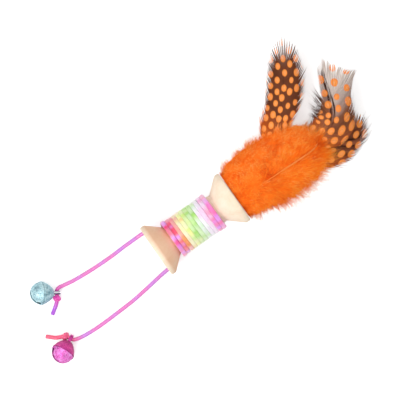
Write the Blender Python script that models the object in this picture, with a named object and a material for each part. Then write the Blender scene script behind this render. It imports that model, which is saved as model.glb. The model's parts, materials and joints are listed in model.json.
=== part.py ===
"""Cat spool toy: a wound wooden spool with two jingle bells on strings and a bunch of spotted feathers.

Metres, +Z up. The toy lies on a table at z = 0 with the spool's axis along X: feathers at +X, bells at -X.
Every place below is measured from the middle of the spool, and the whole toy is then moved so that the
middle of its own box (without the strings) stands over the origin.
"""

from math import cos, pi, radians, sin, sqrt

import bmesh
import bpy
from mathutils import Matrix, Vector
from mathutils.geometry import intersect_line_line

MM = 0.001
GAP = 0.3 * MM

# Spool: a turned craft spool, 2 in long and 1 3/16 in across
SPOOL_LENGTH = 50.8 * MM
FLANGE_R = 15.1 * MM
RIM_WIDTH = 2.4 * MM
RIM_ROUND = 0.7 * MM
BARREL_R = 8.2 * MM
CONE_SLOPE = 0.85
SHOULDER_LENGTH = 0.6 * MM
SHOULDER_DROP = 0.35 * MM
BORE_R = 3.5 * MM
BORE_CHAMFER = 0.5 * MM
AXIS_Z = FLANGE_R
FACE_X = SPOOL_LENGTH / 2
CONE_TOP_X = FACE_X - RIM_WIDTH
CONE_FOOT_X = CONE_TOP_X - (FLANGE_R - BARREL_R) / CONE_SLOPE

# Satin cord: one long helix along the barrel, whose end turns ride up the cones
CORD_R = 1.1 * MM
WOUND_R = 1.05 * MM
PITCH = 2.28 * MM
POINTS_PER_TURN = 16
WINDING_CLEAR = 0.35 * MM
HELIX_R = BARREL_R + WOUND_R + WINDING_CLEAR
HELIX_START_X = -14.4 * MM
HELIX_START_DEG = -20
STRING_WRAP_DEG = 580
TIE_DEG = 720
WINDING_END_DEG = 3500
END_RISE = 1.05 * MM
END_RISE_LENGTH = 4.5 * MM
SPLIT_DEG = 2.4
LEAD_STRAIGHT = 1.6 * MM
LEAD_CLEAR_DEG = 50

# Bells: pressed 12 mm jingle bells that lie with their eyes tipped down
BELL_R = 6.0 * MM
BELL_WALL = 0.5 * MM
SEAM_R = 6.3 * MM
SEAM_HEIGHT = 0.5 * MM
SEAM_ROLL = 0.05 * MM
BELL_TIP = radians(20)
BELL_STEPS = 32
ARC_STEPS = 7
DOME_TURN = radians(76)
NECK_RISE = 1.2 * MM
NECK_SPREAD = radians(55)
SLOT_WIDTH = 1.1 * MM
SLOT_HOLE_R = 1.2 * MM
SLOT_HOLE_Z = -1.9 * MM
EYE_DISTANCE = 8.8 * MM
EYE_HOLE_R = 1.5 * MM
EYE_THICKNESS = 0.6 * MM
EYE_WIDTH = 1.8 * MM
EYE_FOOT_Z = 3.9 * MM
EYE_BEND_Z = 4.7 * MM
EYE_FOOT_SPREAD = 0.8 * MM
PELLET_R = 1.6 * MM
KNOT_R = 2.1 * MM
KNOT_OFFSET = 3.0 * MM

# Feathers: quills glued into the bore, down that hugs the flange, and flat spotted vanes
PLUG_R = 3.15 * MM
PLUG_FROM_X = 14.9 * MM
PLUG_TO_X = 24.2 * MM
QUILL_R = 0.7 * MM
QUILL_FROM_X = 16.4 * MM
QUILL_RING_R = 1.75 * MM
DOWN_GAP = 0.5 * MM
DOWN_ARC_POINTS = 11
# Stations of the down along X: place, middle across, middle height, half width, half height
DOWN_STATIONS_MM = (
    (26.2, 0.3, 15.1, 14.3, 13.6),
    (32.0, 1.0, 14.7, 16.4, 14.4),
    (42.0, 1.0, 13.3, 17.8, 13.6),
    (54.0, 0.0, 12.2, 18.0, 12.7),
    (65.0, -0.3, 11.7, 17.0, 11.3),
    (73.0, -0.8, 12.6, 13.6, 8.2),
    (78.0, -1.2, 14.0, 8.6, 4.6),
    (79.8, -0.5, 14.4, 3.4, 2.2),
)
VANE_STATIONS = 14
VANE_THICKNESS = 0.5 * MM
SHAFT_R = 0.6 * MM
VANE_CAMBER = 0.09

# Each string: its lead to the flange rim, its route in mm from there to the bell's eye, its ends and colours
STRINGS = {
    "blue": {
        "lead_mm": ((-15.5, 7.3, 6.4), (-18.4, 8.4, 4.2), (-22.6, 11.0, 2.75), (-26.25, 11.77, 2.12)),
        "pivot_mm": (-26.6, 11.85, 2.05),
        "route_mm": (
            (-27.8, 11.85, 1.75), (-30.7, 11.8, 1.3), (-38.1, 11.7, 1.2), (-45.7, 11.4, 1.2),
            (-53.1, 11.4, 1.2), (-59.7, 11.6, 1.2), (-66.1, 12.0, 1.2), (-71.0, 12.5, 1.25),
            (-75.2, 13.2, 1.7), (-78.6, 13.8, 2.5), (-80.3, 13.35, 2.95),
        ),
        "bell_mm": (-88.06, 16.8, 6.1),
        "bell_heading": (-0.83, 0.557, 0.0),
        "hole_axis": (-0.557, -0.83, 0.0),
        "slot_roll_deg": -18,
        "tail_mm": ((-84.45, 7.9, 2.3), (-86.5, 6.3, 1.4), (-88.3, 5.1, 1.2), (-90.0, 3.9, 1.2)),
        "string_colour": (0.90, 0.27, 0.70),
        "tail_colour": (0.45, 0.10, 0.62),
        "bell_colour": (0.50, 0.78, 0.84),
    },
    "pink": {
        "lead_mm": (
            (-10.9, -7.9, 7.9), (-12.6, -7.9, 5.2), (-15.5, -7.4, 3.6), (-18.5, -8.6, 2.7), (-22.6, -11.0, 2.7),
            (-26.25, -11.55, 2.12),
        ),
        "pivot_mm": (-26.6, -11.6, 2.05),
        "route_mm": (
            (-27.8, -11.7, 1.75), (-30.7, -12.0, 1.3), (-34.3, -12.5, 1.2), (-40.7, -13.4, 1.2),
            (-48.8, -14.4, 1.2), (-56.6, -14.9, 1.2), (-64.2, -15.2, 1.2), (-71.7, -15.4, 1.2),
            (-78.6, -15.2, 1.2), (-83.0, -14.8, 1.6), (-86.5, -14.1, 2.5), (-88.4, -13.2, 2.95),
        ),
        "bell_mm": (-96.53, -15.52, 6.1),
        "bell_heading": (-0.898, -0.441, 0.0),
        "hole_axis": (-0.53, 0.848, 0.0),
        "slot_roll_deg": 18,
        "tail_mm": ((-92.8, -8.35, 2.3), (-95.4, -7.1, 1.4), (-97.6, -5.2, 1.2), (-99.5, -3.4, 1.2)),
        "string_colour": (0.92, 0.28, 0.68),
        "tail_colour": (0.95, 0.13, 0.28),
        "bell_colour": (0.90, 0.25, 0.75),
    },
}

# Each feather: its slice of the down as angles about the spool's axis from +Y, and its vane's middle line,
# which starts at the pivot where the shaft leaves the down
FEATHERS = {
    "left": {
        "slice_deg": (-45, 75),
        "line_mm": ((65.15, 16.95, 13.9), (75.7, 27.6, 14.8), (83.2, 36.6, 14.4), (93.2, 53.0, 12.5)),
        "width": 16.4 * MM,
        "rise": 0.15,
        "fall": 0.7,
    },
    "right": {
        "slice_deg": (75, 195),
        "line_mm": ((80.5, -0.6, 15.4), (85.8, 1.9, 16.0), (99.3, 13.8, 17.4), (112.1, 29.3, 18.5)),
        "width": 19 * MM,
        "rise": 0.2,
        "fall": 0.8,
    },
    "short": {
        "slice_deg": (195, 315),
        "line_mm": ((77.75, -9.6, 10.8), (86.0, -9.3, 9.6), (96.0, -5.8, 8.6), (104.0, 1.5, 8.0)),
        "width": 20 * MM,
        "rise": 0.25,
        "fall": 0.45,
    },
}

WOOD = (0.85, 0.66, 0.44)
CORD_COLOURS = {"winding": (0.80, 0.85, 0.35), "tie": (0.95, 0.35, 0.55), "wrap": (0.93, 0.27, 0.48)}
GLUE = (0.80, 0.76, 0.62)
DOWN = (0.95, 0.18, 0.01)
VANE = (0.14, 0.045, 0.02)
STEEL = (0.55, 0.56, 0.58)


def clear_scene():
    for obj in list(bpy.data.objects):
        bpy.data.objects.remove(obj, do_unlink=True)


def material(name, colour, roughness, metallic=0.0):
    made = bpy.data.materials.new(name)
    made.use_nodes = True
    shader = made.node_tree.nodes["Principled BSDF"]
    shader.inputs["Base Color"].default_value = (*colour, 1)
    shader.inputs["Roughness"].default_value = roughness
    shader.inputs["Metallic"].default_value = metallic
    return made


def mm(point):
    return Vector(point) * MM


def empty(name, parent=None, place=(0, 0, 0)):
    made = bpy.data.objects.new(name, None)
    bpy.context.collection.objects.link(made)
    made.parent = parent
    made.location = place
    return made


def mesh_object(name, bm, surface, parent, smooth_deg=40):
    bmesh.ops.recalc_face_normals(bm, faces=bm.faces)
    mesh = bpy.data.meshes.new(name)
    bm.to_mesh(mesh)
    bm.free()
    mesh.shade_smooth()
    mesh.set_sharp_from_angle(angle=radians(smooth_deg))
    mesh.materials.append(surface)
    made = bpy.data.objects.new(name, mesh)
    bpy.context.collection.objects.link(made)
    made.parent = parent
    return made


def tube_object(name, points, radius, surface, parent, taper_start=1.0):
    """A round cord along points, with filled ends. taper_start narrows its first ring."""
    curve = bpy.data.curves.new(name, "CURVE")
    curve.dimensions = "3D"
    curve.bevel_depth = radius
    curve.bevel_resolution = 2
    curve.use_fill_caps = True
    spline = curve.splines.new("POLY")
    spline.points.add(len(points) - 1)
    for target, point in zip(spline.points, points):
        target.co = (*point, 1)
    spline.points[0].radius = taper_start
    curve.materials.append(surface)
    made = bpy.data.objects.new(name, curve)
    bpy.context.collection.objects.link(made)
    made.parent = parent
    return made


def smooth_route(points, step):
    """Points about a step apart on a smooth curve (Catmull-Rom) through the given points."""
    ends = [2 * points[0] - points[1], *points, 2 * points[-1] - points[-2]]
    found = []
    for before, start, end, after in zip(ends, ends[1:], ends[2:], ends[3:]):
        pieces = max(1, round((end - start).length / step))
        for i in range(pieces):
            t = i / pieces
            leave = (end - before) / 2
            arrive = (after - start) / 2
            h = t * t * (3 - 2 * t)
            found.append(
                start * (1 - h) + end * h + leave * (t * (1 - t) ** 2) + arrive * (t * t * (t - 1))
            )
    return [*found, points[-1]]


def turned(profile, steps, axis):
    """A closed profile of (along, out) points, turned about an axis through the origin."""
    bm = bmesh.new()
    side = Vector((0, 0, 1)) if axis.x else Vector((1, 0, 0))
    corners = [bm.verts.new(axis * along + side * out) for along, out in profile]
    edges = [bm.edges.new(pair) for pair in zip(corners, corners[1:] + corners[:1])]
    bmesh.ops.spin(
        bm, geom=corners + edges, cent=(0, 0, 0), axis=axis, angle=2 * pi, steps=steps, use_merge=True
    )
    bmesh.ops.remove_doubles(bm, verts=bm.verts, dist=0.001 * MM)
    bmesh.ops.dissolve_degenerate(bm, edges=bm.edges, dist=0.001 * MM)
    return bm


def loft(rings):
    """A closed skin over rings that hold the same number of points."""
    bm = bmesh.new()
    rows = [[bm.verts.new(point) for point in ring] for ring in rings]
    for row, following in zip(rows, rows[1:]):
        for i in range(len(row)):
            j = (i + 1) % len(row)
            bm.faces.new((row[i], row[j], following[j], following[i]))
    bm.faces.new(rows[0][::-1])
    bm.faces.new(rows[-1])
    bmesh.ops.triangulate(bm, faces=bm.faces)
    return bm


def box(size, middle):
    bm = bmesh.new()
    bmesh.ops.create_cube(bm, size=1, matrix=Matrix.Translation(middle) @ Matrix.Diagonal((*size, 1)))
    return bm


def cylinder(radius, length, middle, turn):
    """A cylinder along Z, turned and then moved to its middle."""
    bm = bmesh.new()
    bmesh.ops.create_cone(
        bm, cap_ends=True, segments=20, radius1=radius, radius2=radius, depth=length,
        matrix=Matrix.Translation(middle) @ turn,
    )
    return bm


def cut(target, name, bm, surface):
    """Takes the shape of bm, given in the target's own frame, out of the target."""
    cutter = mesh_object(name, bm, surface, target.parent)
    cutter.matrix_basis = target.matrix_basis
    cutter.hide_render = True
    cutter.display_type = "WIRE"
    modifier = target.modifiers.new(name, "BOOLEAN")
    modifier.operation = "DIFFERENCE"
    modifier.object = cutter


def spool(parent):
    """The turned body: rounded rims, coned flanges, a thin barrel and a bore right through."""
    half = [
        (FACE_X - BORE_CHAMFER, BORE_R),
        (FACE_X, BORE_R + BORE_CHAMFER),
        (FACE_X, FLANGE_R - RIM_ROUND),
        (FACE_X - 0.3 * RIM_ROUND, FLANGE_R - 0.3 * RIM_ROUND),
        (FACE_X - RIM_ROUND, FLANGE_R),
        (CONE_TOP_X, FLANGE_R),
        (CONE_TOP_X - SHOULDER_LENGTH, FLANGE_R - SHOULDER_DROP),
        (CONE_FOOT_X, BARREL_R),
    ]
    mirrored = [(-along, out) for along, out in half[::-1]]
    made = mesh_object(
        "spool", turned(half + mirrored, 64, Vector((1, 0, 0))), material("pale wood", WOOD, 0.6), parent, 30
    )
    made.location = (0, 0, AXIS_Z)


def helix_point(deg):
    """A place on the cord's middle line, at an angle about the spool's axis counted on from its first turn."""
    along = HELIX_START_X + PITCH * (deg - HELIX_START_DEG) / 360
    rise = END_RISE * max(0.0, 1 - (CONE_FOOT_X + WOUND_R - abs(along)) / END_RISE_LENGTH)
    out = HELIX_R + rise
    return Vector((along, out * cos(radians(deg)), AXIS_Z + out * sin(radians(deg))))


def wound(name, from_deg, to_deg, colour, parent):
    steps = round((to_deg - from_deg) / 360 * POINTS_PER_TURN)
    points = [helix_point(from_deg + (to_deg - from_deg) * i / steps) for i in range(steps + 1)]
    tube_object(name, points, WOUND_R, material(name + " satin", colour, 0.4), parent)


def windings(parent):
    """Bell-end wrap, the long winding and the feather-end tie, end to end on one helix."""
    wrap_end = HELIX_START_DEG + STRING_WRAP_DEG
    wound("string_wrap", HELIX_START_DEG, wrap_end, CORD_COLOURS["wrap"], parent)
    tie_end = WINDING_END_DEG + TIE_DEG
    wound("winding", wrap_end + LEAD_CLEAR_DEG, WINDING_END_DEG, CORD_COLOURS["winding"], parent)
    wound("winding_tie", WINDING_END_DEG + SPLIT_DEG, tie_end, CORD_COLOURS["tie"], parent)
    return leaving(HELIX_START_DEG, -SPLIT_DEG), leaving(wrap_end, SPLIT_DEG)


def leaving(end_deg, split_deg):
    """Where a lead starts, just past an end of the wrap, and a point straight on from there."""
    start = helix_point(end_deg + split_deg)
    onward = (start - helix_point(end_deg)).normalized()
    return start, start + onward * LEAD_STRAIGHT


def bell_half(outer_sign):
    """Profile of one pressed half: its dome, its wall and half of the rolled seam. +1 is the eye's half, whose
    dome draws up into a low neck."""
    inner_r = BELL_R - BELL_WALL
    edge = GAP / 2
    outer, inner = [], []
    for i in range(ARC_STEPS + 1):
        from_axis = DOME_TURN * i / ARC_STEPS
        near = max(0.0, 1 - from_axis / NECK_SPREAD) if outer_sign > 0 else 0.0
        dome_r = BELL_R + NECK_RISE * near * near * (3 - 2 * near)
        outer.append((dome_r * cos(from_axis), dome_r * sin(from_axis)))
        level = edge + (inner_r - edge) * (1 - i / ARC_STEPS) ** 0.6
        inner.append((level, sqrt(max(0.0, inner_r**2 - level**2))))
    seam = [
        (edge + SEAM_HEIGHT, SEAM_R - SEAM_ROLL),
        (edge + SEAM_HEIGHT / 2, SEAM_R),
        (edge, SEAM_R - 2 * SEAM_ROLL),
    ]
    return [(outer_sign * along, out) for along, out in outer + seam + inner[::-1]]


def strap_outline(half_gap):
    """One edge of the eye's strap in its own plane: up one leg, over the top, down the other, feet spread."""
    foot = half_gap + EYE_FOOT_SPREAD
    sides = [(foot, EYE_FOOT_Z), (half_gap, EYE_BEND_Z)]
    arc = [
        (half_gap * cos(pi * i / 10), EYE_DISTANCE + half_gap * sin(pi * i / 10)) for i in range(11)
    ]
    return sides + arc + [(-across, height) for across, height in sides[::-1]]


def eye_mesh():
    inner = strap_outline(EYE_HOLE_R)
    outer = strap_outline(EYE_HOLE_R + EYE_THICKNESS)
    bm = bmesh.new()
    corners = [bm.verts.new((across, -EYE_WIDTH / 2, height)) for across, height in outer + inner[::-1]]
    count = len(outer)
    faces = []
    for i in range(count - 1):
        faces.append(bm.faces.new((corners[i], corners[i + 1], corners[-i - 2], corners[-i - 1])))
    raised = bmesh.ops.extrude_face_region(bm, geom=faces)
    moved = [part for part in raised["geom"] if isinstance(part, bmesh.types.BMVert)]
    bmesh.ops.translate(bm, verts=moved, vec=(0, EYE_WIDTH, 0))
    return bm


def way_to_eye(plan):
    """The bell's axis from its middle to its eye, which tips down to the table."""
    return -Vector(plan["bell_heading"]).normalized() * cos(BELL_TIP) - Vector((0, 0, sin(BELL_TIP)))


def bell(name, parent, pivot, plan):
    """Two pressed halves and a clinched eye. Own frame: Z towards the eye, Y along the eye's hole."""
    skin = material(name + " bell", plan["bell_colour"], 0.35, 0.8)
    to_eye = way_to_eye(plan)
    through = to_eye.cross(Vector((0, 0, 1))).normalized()
    frame = Matrix((through.cross(to_eye), through, to_eye)).transposed().to_4x4()
    place = Matrix.Translation(mm(plan["bell_mm"]) - pivot) @ frame
    along_z = Vector((0, 0, 1))
    cap = mesh_object(name + "_cap", turned(bell_half(1), BELL_STEPS, along_z), skin, parent)
    bowl = mesh_object(name + "_bowl", turned(bell_half(-1), BELL_STEPS, along_z), skin, parent)
    eye = mesh_object(name + "_eye", eye_mesh(), skin, parent)
    for piece in (cap, bowl, eye):
        piece.matrix_basis = place
    slit = (2 * (EYE_HOLE_R + EYE_THICKNESS + GAP), EYE_WIDTH + 2 * GAP, 2 * BELL_R)
    cut(cap, name + "_eye_slit", box(slit, (0, 0, 1.5 * BELL_R)), skin)
    depth = BELL_R + SLOT_HOLE_Z
    roll = Matrix.Rotation(radians(plan["slot_roll_deg"]), 4, "Z")
    slot = box((SLOT_WIDTH, 3 * BELL_R, 2 * depth), (0, 0, SLOT_HOLE_Z - depth))
    ends = cylinder(SLOT_HOLE_R, 3 * BELL_R, (0, 0, SLOT_HOLE_Z), Matrix.Rotation(pi / 2, 4, "X"))
    for part, shape in (("slot", slot), ("slot_ends", ends)):
        shape.transform(roll)
        cut(bowl, f"{name}_{part}", shape, skin)


def pellet(name, parent, pivot, plan):
    """The loose ball, lying at the bottom of the bell."""
    bm = bmesh.new()
    bmesh.ops.create_icosphere(bm, subdivisions=2, radius=PELLET_R)
    made = mesh_object(name + "_pellet", bm, material(name + " pellet", STEEL, 0.3, 1.0), parent)
    drop = BELL_R - BELL_WALL - PELLET_R - GAP
    made.location = mm(plan["bell_mm"]) - Vector((0, 0, drop)) - pivot


def string(name, toy, wrap_end, plan):
    """One string: its lead under the rim, the free cord through the bell's eye, the knot and the tail."""
    silk = material(name + " string", plan["string_colour"], 0.4)
    end_silk = material(name + " string end", plan["tail_colour"], 0.4)
    pivot = mm(plan["pivot_mm"])
    eye = mm(plan["bell_mm"]) + way_to_eye(plan) * EYE_DISTANCE
    hole = Vector(plan["hole_axis"]).normalized()
    knot_at = eye + hole * KNOT_OFFSET
    cord_end = knot_at - hole * (KNOT_R + GAP)

    lead = smooth_route([*wrap_end, *map(mm, plan["lead_mm"])], CORD_R)
    tube_object(name + "_lead", lead, CORD_R, silk, toy)

    swing = empty(name + "_swing", toy, pivot)
    route = smooth_route([pivot, *map(mm, plan["route_mm"]), cord_end], 2 * CORD_R)
    tube_object(name + "_cord", [point - pivot for point in route], CORD_R, silk, swing, taper_start=0.35)
    bm = bmesh.new()
    bmesh.ops.create_uvsphere(bm, u_segments=14, v_segments=9, radius=KNOT_R)
    knot = mesh_object(name + "_knot", bm, end_silk, swing)
    knot.location = knot_at - pivot
    knot.rotation_euler = hole.to_track_quat("Z", "X").to_euler()
    tail = smooth_route([mm(point) - pivot for point in plan["tail_mm"]], CORD_R)
    tube_object(name + "_tail", tail, CORD_R, end_silk, swing)

    turn = empty(name + "_bell_turn", swing, eye - pivot)
    bell(name, turn, eye, plan)
    pellet(name, turn, eye, plan)


def slice_ring(station, from_deg, to_deg):
    """One slice of the down's oval cross section, kept half a gap clear of its neighbours and of the table."""
    along, across, height, half_width, half_height = (value * MM for value in station)
    middle = Vector((along, across, height))

    def rim(deg):
        return Vector((0, half_width * cos(radians(deg)), half_height * sin(radians(deg))))

    sides = []
    for deg, turn in ((from_deg, 1), (to_deg, -1)):
        way = rim(deg)
        clear = Vector((0, -way.z, way.y)).normalized() * turn * DOWN_GAP / 2
        sides.append((middle + clear, middle + clear + way))
    point = intersect_line_line(*sides[0], *sides[1])[0]
    ring = [point, sides[0][1]]
    for i in range(1, DOWN_ARC_POINTS - 1):
        ring.append(middle + rim(from_deg + (to_deg - from_deg) * i / (DOWN_ARC_POINTS - 1)))
    ring.append(sides[1][1])
    return [Vector((p.x, p.y, max(p.z, 0.0))) for p in ring]


def quill_ring(along, middle_deg):
    """The bare quill's cross section, starting at the side that faces the spool's axis."""
    count = DOWN_ARC_POINTS + 1
    turn = radians(middle_deg)
    middle = Vector((along, QUILL_RING_R * cos(turn), AXIS_Z + QUILL_RING_R * sin(turn)))
    angles = [turn + pi + 2 * pi * i / count for i in range(count)]
    return [middle + QUILL_R * Vector((0, cos(angle), sin(angle))) for angle in angles]


def down(name, parent, plan, surface):
    """A feather's lower half: its quill in the glue, then its share of the down, as one loft."""
    from_deg, to_deg = plan["slice_deg"]
    middle_deg = (from_deg + to_deg) / 2
    first_x = DOWN_STATIONS_MM[0][0] * MM
    rings = [quill_ring(along, middle_deg) for along in (QUILL_FROM_X, PLUG_TO_X, first_x - GAP)]
    rings += [slice_ring(station, from_deg, to_deg) for station in DOWN_STATIONS_MM]
    mesh_object(name + "_down", loft(rings), surface, parent, 60)


def vane_half_width(t, plan):
    """Half the vane's width at a share of its length: it opens out from the shaft and rounds off at the tip."""
    opening = min(1.0, t / plan["rise"])
    closing = max(0.0, (t - plan["fall"]) / (1 - plan["fall"]))
    share = sqrt(1 - (1 - opening) ** 2) * sqrt(max(0.0, 1 - closing**2.5))
    return max(SHAFT_R, plan["width"] / 2 * share)


def vane(name, toy, plan, surface):
    """A feather's flat upper half: two arched webs with the shaft as a ridge between them."""
    pivot = mm(plan["line_mm"][0])
    fine = smooth_route([mm(point) - pivot for point in plan["line_mm"]], MM)
    last = len(fine) - 1
    rings = []
    for i in range(VANE_STATIONS + 1):
        t = i / VANE_STATIONS
        at = min(last - 1, round(t * last))
        middle = fine[round(t * last)]
        forward = (fine[at + 1] - fine[at]).normalized()
        across = Vector((0, 0, 1)).cross(forward).normalized()
        up = forward.cross(across)
        half = vane_half_width(t, plan)
        ridge = SHAFT_R * (1 - 0.6 * t)
        top, bottom = [], []
        for share in (-1, -0.5, 0, 0.5, 1):
            offset = across * (share * half) - up * (VANE_CAMBER * half * share**2)
            thick = ridge if share == 0 else VANE_THICKNESS / 2
            top.append(middle + offset + up * thick)
            bottom.append(middle + offset - up * thick)
        rings.append(top + bottom[::-1])
    bend = empty(name + "_bend", toy, pivot)
    mesh_object(name + "_vane", loft(rings), surface, bend, 50)


def glue_plug(parent):
    """The glue in the feather end of the bore, with a socket for each quill."""
    glue = material("clear glue", GLUE, 0.4)
    along_x = Matrix.Rotation(pi / 2, 4, "Y")
    length = PLUG_TO_X - PLUG_FROM_X
    middle = Vector((PLUG_FROM_X + length / 2, 0, AXIS_Z))
    plug = mesh_object("glue_plug", cylinder(PLUG_R, length, middle, along_x), glue, parent)
    for name, plan in FEATHERS.items():
        turn = radians(sum(plan["slice_deg"]) / 2)
        offset = QUILL_RING_R * Vector((0, cos(turn), sin(turn)))
        socket_middle = Vector((QUILL_FROM_X - GAP + length / 2, 0, AXIS_Z)) + offset
        cut(plug, name + "_socket", cylinder(QUILL_R + GAP, length, socket_middle, along_x), glue)


def settle(toy):
    """Moves the toy so that the box of everything but the strings has its middle over the origin."""
    bpy.context.view_layer.update()
    strings = tuple(f"{name}_{part}" for name in STRINGS for part in ("lead", "cord", "knot", "tail"))
    corners = []
    for obj in toy.children_recursive:
        if obj.type == "MESH" and not obj.hide_render and obj.name not in strings:
            corners += [obj.matrix_world @ vertex.co for vertex in obj.data.vertices]
    for way in range(2):
        values = [corner[way] for corner in corners]
        toy.location[way] = -(min(values) + max(values)) / 2


def main():
    clear_scene()
    toy = empty("toy")
    spool(toy)
    wrap_ends = windings(toy)
    glue_plug(toy)
    for wrap_end, (name, plan) in zip(wrap_ends, STRINGS.items()):
        string(name, toy, wrap_end, plan)
    fluff = material("orange down", DOWN, 0.9)
    spotted = material("spotted vane", VANE, 0.8)
    for name, plan in FEATHERS.items():
        down(name, toy, plan, fluff)
        vane(name, toy, plan, spotted)
    settle(toy)


main()
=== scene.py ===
"""Looks of the cat spool toy: wood, variegated satin cord, glitter bells, orange down and spotted feathers.

Metres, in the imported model's own frame. Places in millimetres are measured from the middle of the spool,
with X along its axis towards the feathers, Y to the left and Z up from the table. Dyes are screen colours.
"""

import json
from math import cos, pi, radians, sin

import bpy
import numpy as np
from mathutils import Matrix, Vector, noise

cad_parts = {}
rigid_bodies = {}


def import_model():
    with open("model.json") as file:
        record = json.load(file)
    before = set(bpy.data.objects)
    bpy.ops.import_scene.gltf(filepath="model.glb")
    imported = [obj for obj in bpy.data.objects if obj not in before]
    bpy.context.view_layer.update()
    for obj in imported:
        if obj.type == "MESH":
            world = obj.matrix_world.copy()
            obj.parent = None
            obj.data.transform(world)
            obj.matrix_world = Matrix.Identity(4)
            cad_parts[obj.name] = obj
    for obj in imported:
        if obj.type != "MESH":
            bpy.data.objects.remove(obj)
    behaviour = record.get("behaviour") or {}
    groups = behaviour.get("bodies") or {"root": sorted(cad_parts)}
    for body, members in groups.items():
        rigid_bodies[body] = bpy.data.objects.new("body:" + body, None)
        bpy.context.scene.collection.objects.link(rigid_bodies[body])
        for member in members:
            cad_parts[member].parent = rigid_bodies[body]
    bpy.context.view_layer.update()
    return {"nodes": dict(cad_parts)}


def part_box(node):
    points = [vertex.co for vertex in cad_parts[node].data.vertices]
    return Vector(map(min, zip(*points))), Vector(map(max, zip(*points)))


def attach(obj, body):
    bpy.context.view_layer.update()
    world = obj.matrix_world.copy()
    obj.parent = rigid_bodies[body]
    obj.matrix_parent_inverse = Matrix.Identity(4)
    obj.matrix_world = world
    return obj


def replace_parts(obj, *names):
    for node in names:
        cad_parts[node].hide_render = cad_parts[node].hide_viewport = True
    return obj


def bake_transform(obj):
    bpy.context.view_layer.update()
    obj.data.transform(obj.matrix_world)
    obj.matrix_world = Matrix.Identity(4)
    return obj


for leftover in list(bpy.data.objects):
    bpy.data.objects.remove(leftover, do_unlink=True)

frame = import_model()

MM = 0.001
spool_low, spool_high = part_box("spool")
SPOOL_MIDDLE = (spool_low + spool_high) / 2
AXIS_Z = SPOOL_MIDDLE.z
TABLE_CLEAR = 0.15 * MM
CLUMP_SEED = 5
noise.seed_set(CLUMP_SEED)

# Camera: straight above the toy with a long lens, turned so that the spool's axis rises to the right
CAMERA_HEIGHT = 2.5
SENSOR_MM = 36
VIEW_WIDTH = 211.6 * MM
VIEW_MIDDLE_MM = (9.4, 8.9)
IMAGE_RIGHT = Vector((0.819, -0.574, 0.0))
IMAGE_UP = Vector((0.574, 0.819, 0.0))

# Light: the floor's own glow towards the camera, the sky at the horizon and overhead, and the lamps
FLOOR_LIFT = 0.52
HORIZON_LIGHT = 0.12
ZENITH_LIGHT = 0.62
LAMPS = {
    "key": {"where": (-0.55, -0.12, 0.75), "watts": 5.0, "size": 0.5},
    "fill": {"where": (0.25, 0.35, 0.9), "watts": 2.4, "size": 0.9},
}

# Satin cord on the barrel, as in the solids
CONE_FOOT_X = 14.88 * MM
WOUND_R = 1.05 * MM
PITCH = 2.28 * MM
HELIX_R = 9.6 * MM
HELIX_START_X = -14.4 * MM
HELIX_START_DEG = -20
STRING_WRAP_DEG = 580
TIE_DEG = 720
WINDING_END_DEG = 3500
WOUND_STEP_DEG = 5
END_RISE = 1.05 * MM
END_RISE_LENGTH = 4.5 * MM
LEAD_CLEAR_DEG = 50
SPLIT_DEG = 2.4
LEAD_STRAIGHT = 1.6 * MM
CORD_R = 1.1 * MM
CORD_STEP = 0.7 * MM
SATIN_SIDES = 14
WOUND_SIDES = 20
SQUARENESS = 0.58
WOUND_WIDTH = 1.17
WRAP_SKEW = 0.5 * MM
TIE_SKEW = 0.2 * MM
TIE_LIFT = 0.35 * MM
SKEW_TURN = 0.9

# Dye of the wound cord by place along the barrel, in mm, bell end first
WINDING_DYE = (
    (-15.5, (252, 56, 132)), (-12.0, (252, 62, 126)), (-10.2, (250, 80, 92)), (-8.8, (255, 176, 172)),
    (-7.6, (248, 152, 78)), (-6.4, (255, 220, 130)), (-4.8, (255, 252, 188)), (-3.0, (240, 252, 150)),
    (-1.2, (206, 246, 118)), (0.6, (166, 228, 98)), (2.0, (206, 244, 164)), (3.6, (228, 250, 224)),
    (5.2, (250, 252, 250)), (7.0, (252, 236, 254)), (8.6, (254, 214, 242)), (10.0, (252, 120, 172)),
    (11.4, (250, 168, 240)), (13.0, (252, 86, 152)),
)
# The dye runs off its place in patches, and tilts round the barrel. Both pink ends have lilac patches
DYE_PATCH_MM = 2.4
DYE_PATCHES_ROUND = 2.7
DYE_DRIFT_MM = 3.0
DYE_TILT_MM = 1.2
DYE_TILT_TURN = 0.6
LILAC_DYE = (240, 150, 250)
PINK_MIDDLE_MM = -0.8
PINK_BEGINS_MM = 9.0
LILAC_GAIN = 2.6
LILAC_FROM = 0.1
LILAC_MOST = 0.9
# Painted sheen: white blended into the dye on other patches, less of it at the pink ends
PAINTED_SHEEN_SHIFT = 9
PAINTED_SHEEN_GAIN = 1.2
PAINTED_SHEEN_MOST = 0.3
PAINTED_SHEEN_LESS = 0.4
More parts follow.
